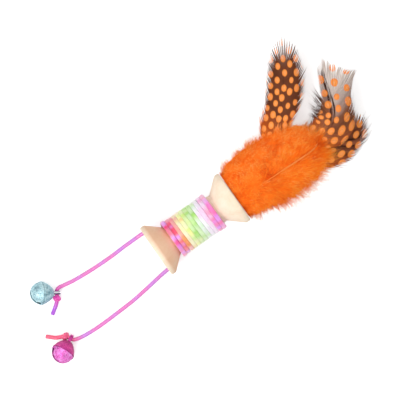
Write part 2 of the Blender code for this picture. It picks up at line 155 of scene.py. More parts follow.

# Strings: routes as in the solids, in mm. The low tint is painted shade that darkens a bell's lower half
STRINGS = {
    "blue": {
        "lead_mm": ((-15.5, 7.3, 6.4), (-18.4, 8.4, 4.2), (-22.6, 11.0, 2.75), (-26.25, 11.77, 2.12)),
        "pivot_mm": (-26.6, 11.85, 2.05),
        "route_mm": (
            (-27.8, 11.85, 1.75), (-30.7, 11.8, 1.3), (-38.1, 11.7, 1.2), (-45.7, 11.4, 1.2),
            (-53.1, 11.4, 1.2), (-59.7, 11.6, 1.2), (-66.1, 12.0, 1.2), (-71.0, 12.5, 1.25),
            (-75.2, 13.2, 1.7), (-78.6, 13.8, 2.5), (-80.3, 13.35, 2.95),
        ),
        "hole_axis": (-0.557, -0.83, 0.0),
        "bell_mm": (-88.06, 16.8, 6.1),
        "bell_heading": (-0.83, 0.557, 0.0),
        "tail_mm": ((-84.45, 7.9, 2.3), (-86.5, 6.3, 1.4), (-88.3, 5.1, 1.2), (-90.0, 3.9, 1.2)),
        "wrap_turn": (HELIX_START_DEG, -SPLIT_DEG),
        "knot_dye": (226, 62, 172),
        "tail_dye": (186, 96, 226),
        "low_shade_tint": (0.72, 0.81, 0.85),
    },
    "pink": {
        "lead_mm": (
            (-10.9, -7.9, 7.9), (-12.6, -7.9, 5.2), (-15.5, -7.4, 3.6), (-18.5, -8.6, 2.7),
            (-22.6, -11.0, 2.7), (-26.25, -11.55, 2.12),
        ),
        "pivot_mm": (-26.6, -11.6, 2.05),
        "route_mm": (
            (-27.8, -11.7, 1.75), (-30.7, -12.0, 1.3), (-34.3, -12.5, 1.2), (-40.7, -13.4, 1.2),
            (-48.8, -14.4, 1.2), (-56.6, -14.9, 1.2), (-64.2, -15.2, 1.2), (-71.7, -15.4, 1.2),
            (-78.6, -15.2, 1.2), (-83.0, -14.8, 1.6), (-86.5, -14.1, 2.5), (-88.4, -13.2, 2.95),
        ),
        "hole_axis": (-0.53, 0.848, 0.0),
        "bell_mm": (-96.53, -15.52, 6.1),
        "bell_heading": (-0.898, -0.441, 0.0),
        "tail_mm": ((-92.8, -8.35, 2.3), (-95.4, -7.1, 1.4), (-97.6, -5.2, 1.2), (-99.5, -3.4, 1.2)),
        "wrap_turn": (HELIX_START_DEG + STRING_WRAP_DEG, SPLIT_DEG),
        "knot_dye": (252, 88, 136),
        "tail_dye": (255, 92, 128),
        "low_shade_tint": (0.64, 0.38, 0.56),
    },
}
STRING_DYE = (240, 130, 206)
STRING_DYE_COOL = (216, 138, 232)
STRING_PATCH_MM = 5.5
COOL_SHARE = 0.3
COOL_GAIN = 1.3
KNOT_DYE_MM = 6
KNOT_DYE_REACH = 1.4
KNOT_TONE = 1.2
KNOT_TONE_PATCH = 0.3
KNOT_OFFSET = 3.0 * MM
KNOT_RING_R = 0.95 * MM
KNOT_WAVE_R = 0.45 * MM
KNOT_DEPTH = 1.25 * KNOT_WAVE_R
KNOT_CORD_R = 1.02 * MM
KNOT_STEPS = 96

# Bells: lacquers as the bell, the light, middle and dark dye, and how strongly the facets stand out
LACQUERS = {
    "blue_glitter": ("blue", (218, 246, 250), (172, 216, 225), (92, 138, 156), 1.0),
    "blue_seam": ("blue", (170, 206, 214), (116, 156, 168), (58, 92, 106), 1.0),
    "magenta_lacquer": ("pink", (242, 98, 182), (226, 62, 162), (170, 28, 116), 0.4),
    "pink_glitter": ("pink", (255, 178, 248), (244, 98, 208), (182, 36, 142), 1.0),
    "pink_seam": ("pink", (196, 56, 146), (156, 26, 112), (96, 10, 68), 1.0),
}
BELL_TIP = radians(20)
EYE_DISTANCE = 8.8 * MM
# The strap's bright band is a painted highlight and its dark edges are painted shade
STRAP_HIGHLIGHT_BAND = 0.4 * MM
STRAP_HIGHLIGHT_OFFSET = 0.25 * MM
STRAP_SHADE_FADE = 0.15 * MM
BELL_SKIN_R = 5.8 * MM
BELL_SKIN_FADE = 0.1 * MM
# Inside a bell: bare metal, coloured near black as painted shade
BELL_INSIDE_SHADE = (0.004, 0.004, 0.006)
# Heights above a bell's middle between which the painted shade of its lower half fades out
LOW_SHADE_HEIGHTS = (1.2 * MM, 4.6 * MM)
SEAM_RING_R = 6.1 * MM
SEAM_FILL_R = 0.22 * MM
SEAM_STEPS = 72

# Down: stations along X in mm as in the solids: place, middle across, middle height, half width, half height
DOWN_STATIONS_MM = np.array((
    (26.2, 0.3, 15.1, 14.3, 13.6),
    (32.0, 1.0, 14.7, 16.4, 14.4),
    (42.0, 1.0, 13.3, 17.8, 13.6),
    (54.0, 0.0, 12.2, 18.0, 12.7),
    (65.0, -0.3, 11.7, 17.0, 11.3),
    (73.0, -0.8, 12.6, 13.6, 8.2),
    (78.0, -1.2, 14.0, 8.6, 4.6),
    (79.8, -0.5, 14.4, 3.4, 2.2),
))
SLOPE_STEP_MM = 1.5
DOWN_FLOOR_MM = 0.3
DOWN_TOP_MM = 35.0
CORE_ENDS_MM = (DOWN_STATIONS_MM[0, 0] - 0.55, DOWN_STATIONS_MM[-1, 0] - 2.5)
CORE_ROWS = 56
CORE_ARC_POINTS = 41
CORE_SHARE = 0.92
CORE_LUMP_MM = 0.9
CORE_DYE = ((-0.7, (238, 84, 2)), (0.0, (252, 106, 14)), (0.7, (255, 126, 36)))
FLUFF_ENDS_MM = (DOWN_STATIONS_MM[0, 0] - 0.4, DOWN_STATIONS_MM[-1, 0])
ROOT_SHARE = CORE_SHARE - 0.02
SOFT_LIFT = (0.0, 0.0, 0.9)
STRAND_POINTS = 5
STRAND_FLATNESS = 0.35
# Locks of down part along the quill, lie in tufts, and some stand upright
LOCK_FIBRES = 5
LOCK_SPREAD_MM = 0.4
LOCK_SPREAD_DEG = 1.5
# Each fibre's share of its lock's length and its layer's radius, and its slant off the rim: least and spread
FIBRE_REACH = (0.7, 0.5)
FIBRE_THICK = (0.7, 0.6)
FIBRE_TIP = 0.4
RIM_SLANT = (0.6, 0.7)
TOP_SQUEEZE = 0.8
TUFT_MM = 5
PARTING_DEG = 14
UPRIGHT_FROM = 0.72
# How a lock sweeps forwards at the flange and gains towards the tip, and what goes into its way and its curl
SWEEP = -0.15
SWEEP_GAIN = 1.25
WAY_FORWARD = 0.6
WAY_SIDEWAYS = 0.55
WAY_TUFT = 0.55
WAY_CHANCE = 0.3
CURL_CHANCE = 0.35
CURL_TUFT = 0.45
CURL_FORWARD = 0.25
CURL_INWARD = 0.25
# Locks are shorter by the flange and on the left; on the right, wisps fly out between two places
FLANGE_NEAR_MM = 18
SHORTER_LEFT = 0.3
SHORTER_TIP = 0.3
LONGER_TUFT = 0.9
FLYING_FROM_MM = (36, 50)
# Tone: shade at distances in mm from the flange, less on the left; then light, tufts, patches and chance
FLANGE_SHADE = ((0, 1.2, 5), (0.58, 0.32, 0.0))
SHADE_LEFT = ((-0.2, 0.5), (1.0, 0.3))
TONE = 1.07
TONE_LEFT = 0.1
TONE_TUFT = 0.34
TONE_PATCH = 0.5
TONE_CHANCE = 0.13
TONE_LIMITS = (0.1, 1.15)
# Shaded down turns redder: how much of a shade each of red, green and blue takes
SHADE_POWERS = (0.4, 1.0, 1.3)
DOWN_ROOT_DYE = (232, 80, 0)
DOWN_MIDDLE_DYE = (248, 106, 8)
DOWN_PALE_DYE = (255, 194, 120)
DOWN_HAIR_DYE = (140, 88, 56)
PALE_LEFT = 0.8
PALE_FROM = 0.92
HAIR_SIDES_POWER = 6
# Dense fluff and the finer, longer wisps over it. length_mm is the shortest length and the spread. dark is
# the share of dark hairs at the sides, flying how much longer the right side is, at_flange the share of the
# length there, gather how far a lock's fibres come together, and stray how unevenly they bend
DOWN_LAYERS = {
    "fluff": {
        "radius": 0.06 * MM, "length_mm": (2.8, 4.6), "upright": 0.42, "tip_dye": (255, 144, 48),
        "dark": 0.02, "flying": 0.0, "at_flange": 0.35, "gather": 0.75, "stray": 0.2,
    },
    "wisps": {
        "radius": 0.032 * MM, "length_mm": (4.6, 5.4), "upright": 0.7, "tip_dye": (255, 176, 72),
        "dark": 0.45, "flying": 0.5, "at_flange": 0.6, "gather": 1.0, "stray": 0.07,
    },
}


def web_plan(side, outline, **settings):
    """One web of a feather, with the values that most webs share."""
    usual = {"greyness": (0.0, 0.0), "fades": (0.35, 0.6), "uneven": 0.02, "creases": ()}
    return {**usual, "side": side, "outline": outline, **settings}


def web_pair(left_outline, right_outline, **settings):
    """The webs on both sides of a shaft, alike but for their outlines."""
    return web_plan(1, left_outline, **settings), web_plan(-1, right_outline, **settings)


# Feathers: middle lines in mm, and the slice of the down that each one owns. A web's outline is its half
# width in mm at distances from the pivot, and rooted_mm is where its barbs leave the shaft. run_mm is how far
# they reach ahead, and loose the share of them that comes loose: at the base, in the middle, where the crown
# starts and at the tip. spiky is how far loose ends gather, tip_cover how wide they stay, and uneven how much
# lengths differ. cover is how often barbs cover the web, and greyness how pale they are, at the base and at
# the top; fades is where one turns into the other. The creases are painted shade where a web is folded.
# Spots stand in staggered columns: the gaps across and along, and how the gap along grows. Past spot_even_mm
# they also spread and grow
RIGHT_STRIP_OUTLINE = ((-8, 1.2), (20, 1.5), (44, 0.7))
SHORT_OUTLINE = ((-8, 5), (0, 8), (6, 9.6), (14, 10), (22, 8.6), (26, 6.8), (30, 3))
EVEN_SPOTS = {"spot_even_mm": 0, "spot_shift_mm": 0.0, "spot_spread": 0.0, "spot_growth": 0.0}
# dark is each feather's barb dye; folds is how strongly painted shade and light vary its barbs in patches, as
# if folded
FEATHERS = {
    "left": {
        "slice_deg": (-45, 75), "parting_deg": 22, "locks": 1700, "seed": 11,
        "line_mm": ((65.15, 16.95, 13.9), (75.7, 27.6, 14.8), (83.2, 36.6, 14.4), (93.2, 53.0, 12.5)),
        "rear_mm": ((56.0, 9.5, 14.5), (60.6, 13.2, 14.2)),
        "shaft_mm": 34,
        "webs": web_pair(
            ((-12, 4), (-5, 9.2), (2, 9.8), (12, 8.8), (20, 9.2), (32, 9.0), (38, 7.2), (42, 6.0)),
            ((-12, 4), (-5, 6.0), (2, 6.8), (12, 9.2), (20, 10.6), (32, 10.2), (38, 8.4), (42, 7.0)),
            barbs=340, cover=(3.2, 3.0), camber=0.10, rooted_mm=(-14, 31), run_mm=(11, 12, 10.5, 17),
            spiky=0.9, loose=(0.35, 0.45, 0.65, 0.9), tip_cover=0.07,
        ),
        "spot_gap_mm": (3.4, 5.2, 0.09), "spot_mm": (1.35, 1.95), **EVEN_SPOTS,
        "dark": (114, 64, 42), "fold_shade": 0.35,
    },
    "right": {
        "slice_deg": (75, 195), "parting_deg": 102, "locks": 1700, "seed": 23,
        "line_mm": (
            (80.5, -0.6, 15.4), (88.3, 1.6, 15.9), (93.8, 7.0, 16.3), (97.2, 15.6, 17.0),
            (100.4, 25.2, 17.8), (104.3, 32.9, 18.5),
        ),
        "rear_mm": ((39.4, -2.9, 29.0), (52.0, -3.3, 26.9), (64.0, -3.6, 24.6), (74.0, -3.5, 20.8)),
        "shaft_mm": 34,
        "webs": (
            web_plan(
                1, ((-8, 5), (0, 8.4), (8, 9.4), (16, 7.4), (24, 4.4), (34, 3.0), (44, 2.4)),
                barbs=240, cover=(2.8, 1.3), camber=0.10, rooted_mm=(-7, 30), run_mm=(8, 11, 10, 13),
                spiky=0.7, loose=(0.3, 0.4, 0.5, 0.6), tip_cover=0.25, greyness=(0.0, 0.7),
                fades=(0.45, 0.75),
            ),
            web_plan(
                -1,
                ((-8, 5), (0, 8), (6, 11.5), (12, 13), (17, 11), (22, 11.2), (28, 14), (34, 18.2), (40, 17)),
                barbs=340, cover=(3.0, 2.4), camber=0.05, rooted_mm=(-7, 22), run_mm=(8, 11, 11.5, 24),
                spiky=0.25, loose=(0.25, 0.3, 0.35, 0.5), tip_cover=0.15, greyness=(0.0, 0.9),
                fades=(0.5, 0.8), uneven=0.09,
            ),
            *web_pair(
                RIGHT_STRIP_OUTLINE, RIGHT_STRIP_OUTLINE,
                barbs=120, cover=(3.0, 2.6), camber=0.0, rooted_mm=(4, 29), run_mm=(8, 9, 9, 11),
                spiky=0.2, loose=(0.2, 0.2, 0.3, 0.5), tip_cover=0.2, dark=(74, 46, 38),
            ),
        ),
        "spot_gap_mm": (4.3, 5.2, 0.2), "spot_mm": (1.6, 1.85),
        "spot_even_mm": 12, "spot_shift_mm": 2.15, "spot_spread": 0.03, "spot_growth": 0.01,
        "dark": (140, 84, 58), "fold_shade": 0.4, "hairs": 400,
    },
    "short": {
        "slice_deg": (195, 315), "parting_deg": 255, "locks": 1400, "seed": 37,
        "line_mm": ((77.75, -9.6, 10.8), (86.0, -9.3, 9.6), (96.0, -5.8, 8.6), (104.0, 1.5, 8.0)),
        "rear_mm": ((62.0, -6.4, 9.0), (70.0, -8.6, 10.2)),
        "shaft_mm": 20,
        "webs": web_pair(
            SHORT_OUTLINE, SHORT_OUTLINE,
            barbs=240, cover=(3.2, 3.0), camber=0.35, rooted_mm=(-8, 17), run_mm=(7, 9, 9, 12.5),
            spiky=0.95, loose=(0.35, 0.4, 0.45, 0.5), tip_cover=0.12, creases=(0.4, 0.56, 0.7),
        ),
        "spot_gap_mm": (4.2, 5.4, 0.0), "spot_mm": (1.55, 1.85), **EVEN_SPOTS,
        "dark": (132, 76, 52), "fold_shade": 0.8, "hairs": 110,
    },
}
SHAFT_R = 0.5 * MM
SHAFT_DEPTH = 0.5 * MM
SHAFT_DIVE = 3.0 * MM
SHAFT_STEP = 1.5 * MM
SHAFT_TAPER = ((0, 0.25, 0.6, 1), (0.25, 1, 0.7, 0.22))
LINE_STEP = 0.5 * MM
BARB_POINTS = 15
BARB_FLATNESS = 0.3
BARB_LIFT = 0.12 * MM
BARB_STREW = 0.4
BARB_BOW_AHEAD = 0.2
BARB_BOW_ASIDE = 0.3
BARB_TONE = (0.9, 0.2)
FINEST_GAP = 0.03 * MM
CROWN_SHARE = 0.86
RUN_SHARES = (0.0, 0.5, CROWN_SHARE, 1.0)
# Creases: painted shade across a share of a web's barbs, and how much it darkens them
CREASE_SHADE_WIDTH = 0.02
CREASE_SHADE_DEPTH = 0.8
SPIKE_SHARE = 0.024
SPIKE_LENGTH = (0.1, 0.3)
SPIKE_WIDTH = (0.1, 0.35)
SPIKE_STREW = 0.5
SPIKE_PATCH = 1.7
# Size of the patches of painted shade and light along a web, as of a folded web
FOLD_SHADE_PATCH = 9
CROWN_PALE = ((CROWN_SHARE, 0.95, 1), (0, 0.8, 1))
GREY_DYE = (224, 209, 200)
RUST_DYE = (206, 92, 28)
RUST_FROM = -3 * MM
RUST_LENGTH = 13 * MM
RUST_SHARE = 0.85
SPOT_COLUMNS = range(-5, 6)
SPOT_ROWS_MM = (-12.0, 50)
SPOT_STRAY_MM = (0.22, 0.4)
SPOT_SIZES = (0.85, 0.25)
NO_SPOT = 9.0
# Loose hairs at a vane's base, as the lowest value and the spread
HAIR_START_MM = (-6, 22)
HAIR_ANGLE_DEG = (30, 45)
HAIR_LENGTH_MM = (9, 8)
HAIR_DROP_MM = (0.4, 0.6)
HAIR_BOW_AHEAD = 0.3
HAIR_BOW_ASIDE = 0.15
HAIR_R = 0.12 * MM
HAIR_DYE = ((0.0, (190, 92, 40)), (0.4, (96, 52, 34)), (1.0, (84, 56, 46)))


def place(point_mm):
    """A place measured from the spool's middle, in mm, as a point of the frame."""
    x, y, z = point_mm
    return Vector((SPOOL_MIDDLE.x + x * MM, SPOOL_MIDDLE.y + y * MM, z * MM))


def srgb(red, green, blue):
    """A colour written as it looks on screen, as linear values."""
    def linear(value):
        share = value / 255
        return share / 12.92 if share <= 0.04045 else ((share + 0.055) / 1.055) ** 2.4
    return linear(red), linear(green), linear(blue)


def dye(colour):
    return np.array(srgb(*colour))


def ramp(value, stops):
    """Linear colours between stops of (place, screen colour) at an array of places."""
    places = [stop for stop, _ in stops]
    colours = np.array([srgb(*colour) for _, colour in stops])
    return np.stack([np.interp(value, places, colours[:, i]) for i in range(3)], axis=-1)


def blended(first, second, share):
    return first * (1 - share) + second * share


def unit(vectors):
    return vectors / np.maximum(np.linalg.norm(vectors, axis=-1, keepdims=True), 1e-12)


def soft_noise(places):
    """Smooth noise, about -1 to 1, at each of many places."""
    return np.array([noise.noise(at) for at in places])


def strewn(rng, count, lowest, spread):
    """Chance values, evenly between a lowest one and a spread above it."""
    return lowest + spread * rng.random(count)


def distances(line):
    """The way along a line at each of its points."""
    return np.concatenate([[0], np.cumsum(np.linalg.norm(np.diff(line, axis=0), axis=1))])


def smooth_route(points, step):
    """Points about a step apart on a smooth curve (Catmull-Rom) through the given points."""
    ends = [2 * points[0] - points[1], *points, 2 * points[-1] - points[-2]]
    found = []
    for before, start, end, after in zip(ends, ends[1:], ends[2:], ends[3:]):
        pieces = max(1, round((end - start).length / step))
        for i in range(pieces):
            t = i / pieces
            leave = (end - before) / 2
            arrive = (after - start) / 2
            h = t * t * (3 - 2 * t)
            found.append(
                start * (1 - h) + end * h + leave * (t * (1 - t) ** 2) + arrive * (t * t * (t - 1))
            )
    return [*found, points[-1]]


# Meshes


def new_mesh(name, verts, faces, smooth=True):
    mesh = bpy.data.meshes.new(name)
    mesh.from_pydata([tuple(v) for v in verts], [], [tuple(f) for f in faces])
    if smooth:
        mesh.shade_smooth()
    made = bpy.data.objects.new(name, mesh)
    bpy.context.scene.collection.objects.link(made)
    return made


def paint(obj, colours):
    """Stores one linear colour per vertex as the dye that the materials read."""
    layer = obj.data.color_attributes.new("Dye", "FLOAT_COLOR", "POINT")
    filled = np.concatenate([colours, np.ones((len(colours), 1))], axis=1)
    layer.data.foreach_set("color", filled.astype(np.float32).ravel())


def map_points(obj, name, values):
    """Stores two numbers per vertex as a UV map."""
    layer = obj.data.uv_layers.new(name=name)
    corners = np.zeros(len(obj.data.loops), np.int32)
    obj.data.loops.foreach_get("vertex_index", corners)
    layer.data.foreach_set("uv", np.asarray(values, np.float32)[corners].ravel())


def faces_between(rings, per_ring):
    """Four-cornered faces between closed rings of vertices that follow each other."""
    faces = []
    for start in range(0, (rings - 1) * per_ring, per_ring):
        for k in range(per_ring):
            j = (k + 1) % per_ring
            faces.append((start + k, start + j, start + per_ring + j, start + per_ring + k))
    return faces


def dress(piece, material, body=None):
    """Gives a piece its material and the body that it rides on."""
    piece.data.materials.append(material)
    if body:
        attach(piece, body)


def tube(name, points, radii, sides, colours=None, pressed_on=None):
    """A closed tube along points, with a UV map of turns around and millimetres along. pressed_on is the way
    out of what the tube is wound on, and makes its cross section a rounded square that lies flat there."""
    line = np.array([tuple(p) for p in points])
    radii = np.broadcast_to(radii, len(line))
    tangents = unit(np.gradient(line, axis=0))
    side = unit(np.cross(tangents[0], (0.3, 0.5, 0.8)))
    turns = 2 * pi * np.arange(sides) / sides
    over, high = np.cos(turns)[:, None], np.sin(turns)[:, None]
    if pressed_on is not None:
        over = WOUND_WIDTH * np.sign(over) * np.abs(over) ** SQUARENESS
        high = np.sign(high) * np.abs(high) ** SQUARENESS
    rings = []
    for i, (middle, tangent, radius) in enumerate(zip(line, tangents, radii)):
        if pressed_on is not None:
            side = np.cross(pressed_on[i], tangent)
        side = unit(side - tangent * np.dot(side, tangent))
        up = np.cross(tangent, side)
        rings.append(middle + radius * (side * over + up * high))
    verts = [*np.concatenate(rings), line[0], line[-1]]
    count = len(line)
    faces = faces_between(count, sides)
    for k in range(sides):
        j = (k + 1) % sides
        faces.append((j, k, count * sides))
        faces.append(((count - 1) * sides + k, (count - 1) * sides + j, count * sides + 1))
    made = new_mesh(name, verts, faces)
    along = distances(line) / MM
    around = np.tile(np.arange(sides) / sides, count)
    flow = np.stack([around, np.repeat(along, sides)], axis=1)
    map_points(made, "flow", np.concatenate([flow, [[0, 0], [0, along[-1]]]]))
    if colours is not None:
        paint(made, np.concatenate([np.repeat(colours, sides, axis=0), colours[:1], colours[-1:]]))
    return made


def strands(name, lines, radii, flat_way, flatness, colours, maps=None):
    """Many thin closed three-sided fibres as one mesh. lines is (fibre, point, xyz), radii is (fibre, point),
    and flat_way points out of each fibre's flat side. A flatness of 1 is round."""
    count, points = lines.shape[:2]
    tangents = unit(np.gradient(lines, axis=1))
    side = unit(np.cross(tangents, flat_way))
    up = np.cross(side, tangents)
    corners = []
    for turn in (pi / 2, pi / 2 + 2 * pi / 3, pi / 2 + 4 * pi / 3):
        offset = side * cos(turn) + up * (flatness * sin(turn))
        corners.append(lines + offset * radii[..., None])
    rings = np.stack(corners, axis=2)[:, :-1]
    verts = np.concatenate([rings.reshape(count, -1, 3), lines[:, -1:]], axis=1)
    per_fibre = verts.shape[1]
    pattern = [(0, 1, 2)]
    for i in range(points - 2):
        for k in range(3):
            j = (k + 1) % 3
            pattern.append((3 * i + k, 3 * i + 3 + k, 3 * i + 3 + j, 3 * i + j))
    last = 3 * (points - 2)
    pattern += [(last + k, per_fibre - 1, last + (k + 1) % 3) for k in range(3)]
    faces = []
    for fibre in range(count):
        start = fibre * per_fibre
        faces += [tuple(start + corner for corner in face) for face in pattern]

    def spread(values):
        """Values of each fibre's points, handed on to its vertices."""
        each = np.concatenate([np.repeat(values[:, :-1], 3, axis=1), values[:, -1:]], axis=1)
        return each.reshape(-1, values.shape[-1])

    made = new_mesh(name, verts.reshape(-1, 3), faces)
    paint(made, spread(colours))
    if maps is not None:
        map_points(made, "feather", spread(maps))
    return made


# Materials


def connect(tree, value, socket):
    """Links an output to a socket, or sets the socket's plain value."""
    if isinstance(value, bpy.types.NodeSocket):
        tree.links.new(value, socket)
    elif socket.type == "RGBA":
        socket.default_value = (*value, 1)
    else:
        socket.default_value = value


def node(tree, kind, **settings):
    """A new node. A setting is one of its properties or, with spaces for underscores, one of its inputs."""
    made = tree.nodes.new(kind)
    for name, value in settings.items():
        if name in made.bl_rna.properties:
            setattr(made, name, value)
        else:
            connect(tree, value, made.inputs[name.replace("_", " ")])
    return made


def maths(tree, kind, operation, *values):
    """A node that works on values in the order of its inputs."""
    made = node(tree, kind, operation=operation)
    for value, socket in zip(values, made.inputs):
        connect(tree, value, socket)
    return made


def shader_material(name, **values):
    """A material with its Principled shader's plain values set."""
    made = bpy.data.materials.new(name)
    made.use_nodes = True
    shader = made.node_tree.nodes["Principled BSDF"]
    for socket, value in values.items():
        shader.inputs[socket.replace("_", " ")].default_value = value
    return made, made.node_tree, shader


def mix_colours(tree, factor, first, second, blend="MIX"):
    mixed = node(tree, "ShaderNodeMix", data_type="RGBA", blend_type=blend)
    for index, value in ((0, factor), (6, first), (7, second)):
        connect(tree, value, mixed.inputs[index])
    return mixed.outputs[2]


def colour_ramp(tree, factor, stops):
    made = node(tree, "ShaderNodeValToRGB")
    connect(tree, factor, made.inputs[0])
    elements = made.color_ramp.elements
    while len(elements) < len(stops):
        elements.new(0.5)
    for element, (position, colour) in zip(elements, stops):
        element.position = position
        element.color = (*colour, 1)
    return made.outputs[0]


def own_place(tree):
    """The piece's own coordinates."""
    return node(tree, "ShaderNodeTexCoord").outputs["Object"]


def scaled_place(tree, scale):
    """The piece's own coordinates, stretched."""
    return node(tree, "ShaderNodeMapping", Vector=own_place(tree), Scale=scale).outputs["Vector"]


def grain(tree, where, **settings):
    """Noise at coordinates that are already stretched to its size."""
    return node(tree, "ShaderNodeTexNoise", Vector=where, Scale=1.0, **settings).outputs["Fac"]


def share_between(tree, value, start, end, **settings):
    """How far a value has come from start to end, 0 to 1 unless the settings say otherwise."""
    made = node(tree, "ShaderNodeMapRange", Value=value, From_Min=start, From_Max=end, **settings)
    return made.outputs["Result"]


def colour_with(tree, shader, colour):
    tree.links.new(colour, shader.inputs["Base Color"])


def stored_dye(tree):
    return node(tree, "ShaderNodeVertexColor", layer_name="Dye").outputs["Color"]


def bump(tree, shader, height, distance, strength):
    made = node(tree, "ShaderNodeBump", Height=height, Distance=distance, Strength=strength)
    tree.links.new(made.outputs["Normal"], shader.inputs["Normal"])


def wood_material():
    """Sanded pale wood: fine grain along the axis, faint bands, and painted shade as a warmer, darker tint on
    the bell-end cone.
    """
    made, tree, shader = shader_material("pale_wood", Roughness=0.62, Specular_IOR_Level=0.3)
    fine_grain = grain(tree, scaled_place(tree, (55, 900, 900)), Detail=6.0, Roughness=0.6)
    bands = grain(tree, scaled_place(tree, (18, 160, 160)), Detail=3.0, Distortion=0.6)
    light, mid, dark = srgb(255, 240, 219), srgb(251, 228, 200), srgb(240, 206, 170)
    fine = colour_ramp(tree, fine_grain, ((0.3, mid), (0.55, light), (0.75, light)))
    base = colour_ramp(tree, bands, ((0.3, dark), (0.55, mid), (0.8, light)))
    at = node(tree, "ShaderNodeSeparateXYZ", Vector=own_place(tree))
    lengthwise = share_between(tree, at.outputs["X"], spool_low.x, spool_high.x)
    # Painted shade: the bell-end cone, which faces away from the key lamp, is tinted warmer and darker
    pale, painted_shade = (1.0, 1.0, 1.0), (1.0, 0.78, 0.67)
    shade_tint = colour_ramp(tree, lengthwise, ((0.02, pale), (0.06, painted_shade), (0.3, painted_shade), (0.7, pale)))
    wood = mix_colours(tree, 0.5, fine, base)
    colour_with(tree, shader, mix_colours(tree, 1.0, wood, shade_tint, "MULTIPLY"))
    bump(tree, shader, fine_grain, 0.08 * MM, 0.35)
    return made


def satin_material(name):
    """Satin cord: its dye, fine fibres along it that slant a little, and a soft silky shine."""
    made, tree, shader = shader_material(name, Roughness=0.3, Specular_IOR_Level=0.75, Sheen_Weight=0.25)
    flow = node(tree, "ShaderNodeUVMap", uv_map="flow").outputs["UV"]
    drawn_out = node(tree, "ShaderNodeMapping", Vector=flow, Scale=(36.0, 0.3, 1.0), Rotation=(0, 0, 0.12))
    fibres = grain(tree, drawn_out.outputs["Vector"], Detail=4.0)
    shade = colour_ramp(tree, fibres, ((0.32, (0.86, 0.82, 0.88)), (0.58, (1, 1, 1))))
    colour_with(tree, shader, mix_colours(tree, 1.0, stored_dye(tree), shade, "MULTIPLY"))
    bump(tree, shader, fibres, 0.08 * MM, 0.6)
    return made


def glitter_material(name, bell, light, mid, dark, sparkle):
    """Sandblasted lacquered metal: small facets that catch the light one by one, and cloudy patches. Painted
    shade darkens the bell's lower half, and the inside, nearer to the bell's middle, is bare and painted near
    black as shade."""
    made, tree, shader = shader_material(name, Metallic=0.4, Specular_IOR_Level=0.5)
    light, mid, dark = srgb(*light), srgb(*mid), srgb(*dark)
    middle = place(STRINGS[bell]["bell_mm"])
    facets = node(tree, "ShaderNodeTexVoronoi", Vector=scaled_place(tree, (2200,) * 3), Scale=1.0)
    tone = node(tree, "ShaderNodeSeparateColor")
    tree.links.new(facets.outputs["Color"], tone.inputs["Color"])
    patches = grain(tree, scaled_place(tree, (420,) * 3), Detail=4.0)
    speckle = colour_ramp(tree, tone.outputs["Red"], ((0.05, dark), (0.3, mid), (0.7, light)))
    cloud = colour_ramp(tree, patches, ((0.34, dark), (0.5, mid), (0.62, light)))
    away = maths(tree, "ShaderNodeVectorMath", "DISTANCE", own_place(tree), middle).outputs["Value"]
    # Painted shade: inside the skin the colour turns near black
    inside = share_between(tree, away, BELL_SKIN_R, BELL_SKIN_R - BELL_SKIN_FADE)
    at = node(tree, "ShaderNodeSeparateXYZ", Vector=own_place(tree))
    # Painted shade: the colour darkens towards the bell's lower half
    upper = share_between(tree, at.outputs["Z"], *(middle.z + height for height in LOW_SHADE_HEIGHTS))
    shade_tint = colour_ramp(tree, upper, ((0.0, STRINGS[bell]["low_shade_tint"]), (1.0, (1.0, 1.0, 1.0))))
    skin = mix_colours(tree, 1.0, mix_colours(tree, 0.5, speckle, cloud), shade_tint, "MULTIPLY")
    colour_with(tree, shader, mix_colours(tree, inside, skin, BELL_INSIDE_SHADE))
    rough = share_between(tree, tone.outputs["Green"], 0.0, 1.0, To_Min=0.4, To_Max=0.7)
    tree.links.new(rough, shader.inputs["Roughness"])
    bump(tree, shader, tone.outputs["Blue"], 0.14 * MM, 0.8 * sparkle)
    return made


def strap_material(name, plan):
    """Polished strap with a painted highlight, a bright band round it a little away from the knot, and
    painted shade at its edges.
    """
    made, tree, shader = shader_material(name, Roughness=0.25, Metallic=0.6)
    hole = hole_way(plan)
    highlight_at = eye_place(plan) - hole * STRAP_HIGHLIGHT_OFFSET
    offset = maths(tree, "ShaderNodeVectorMath", "SUBTRACT", own_place(tree), highlight_at).outputs["Vector"]
    along = maths(tree, "ShaderNodeVectorMath", "DOT_PRODUCT", offset, hole).outputs["Value"]
    away = maths(tree, "ShaderNodeMath", "ABSOLUTE", along).outputs["Value"]
    edge = share_between(tree, away, STRAP_HIGHLIGHT_BAND, STRAP_HIGHLIGHT_BAND + STRAP_SHADE_FADE)
    # Painted highlight in the band, painted shade at the edges
    colour_with(tree, shader, mix_colours(tree, edge, srgb(250, 244, 255), srgb(74, 62, 104)))
    return made


def fibre_material(name):
    """Down and shafts: the dye of each fibre, a little uneven."""
    made, tree, shader = shader_material(name, Roughness=0.7, Specular_IOR_Level=0.1)
    patches = grain(tree, scaled_place(tree, (500,) * 3), Detail=2.0)
    shade = colour_ramp(tree, patches, ((0.3, (0.94, 0.86, 0.80)), (0.6, (1, 1, 1))))
    colour_with(tree, shader, mix_colours(tree, 1.0, stored_dye(tree), shade, "MULTIPLY"))
    return made


def spotted_material(name):
    """Barbs of a spotted feather: their dye, and orange where a barb crosses a spot (up to 1 on the map)."""
    made, tree, shader = shader_material(name, Roughness=0.7, Specular_IOR_Level=0.08)
    vane = node(tree, "ShaderNodeUVMap", uv_map="feather").outputs["UV"]
    to_spot = node(tree, "ShaderNodeSeparateXYZ", Vector=vane).outputs["X"]
    edge = share_between(tree, to_spot, 1.1, 0.9, interpolation_type="SMOOTHSTEP")
    spot = colour_ramp(tree, to_spot, ((0.0, srgb(255, 178, 106)), (0.9, srgb(255, 150, 68))))
    colour_with(tree, shader, mix_colours(tree, edge, stored_dye(tree), spot))
    return made


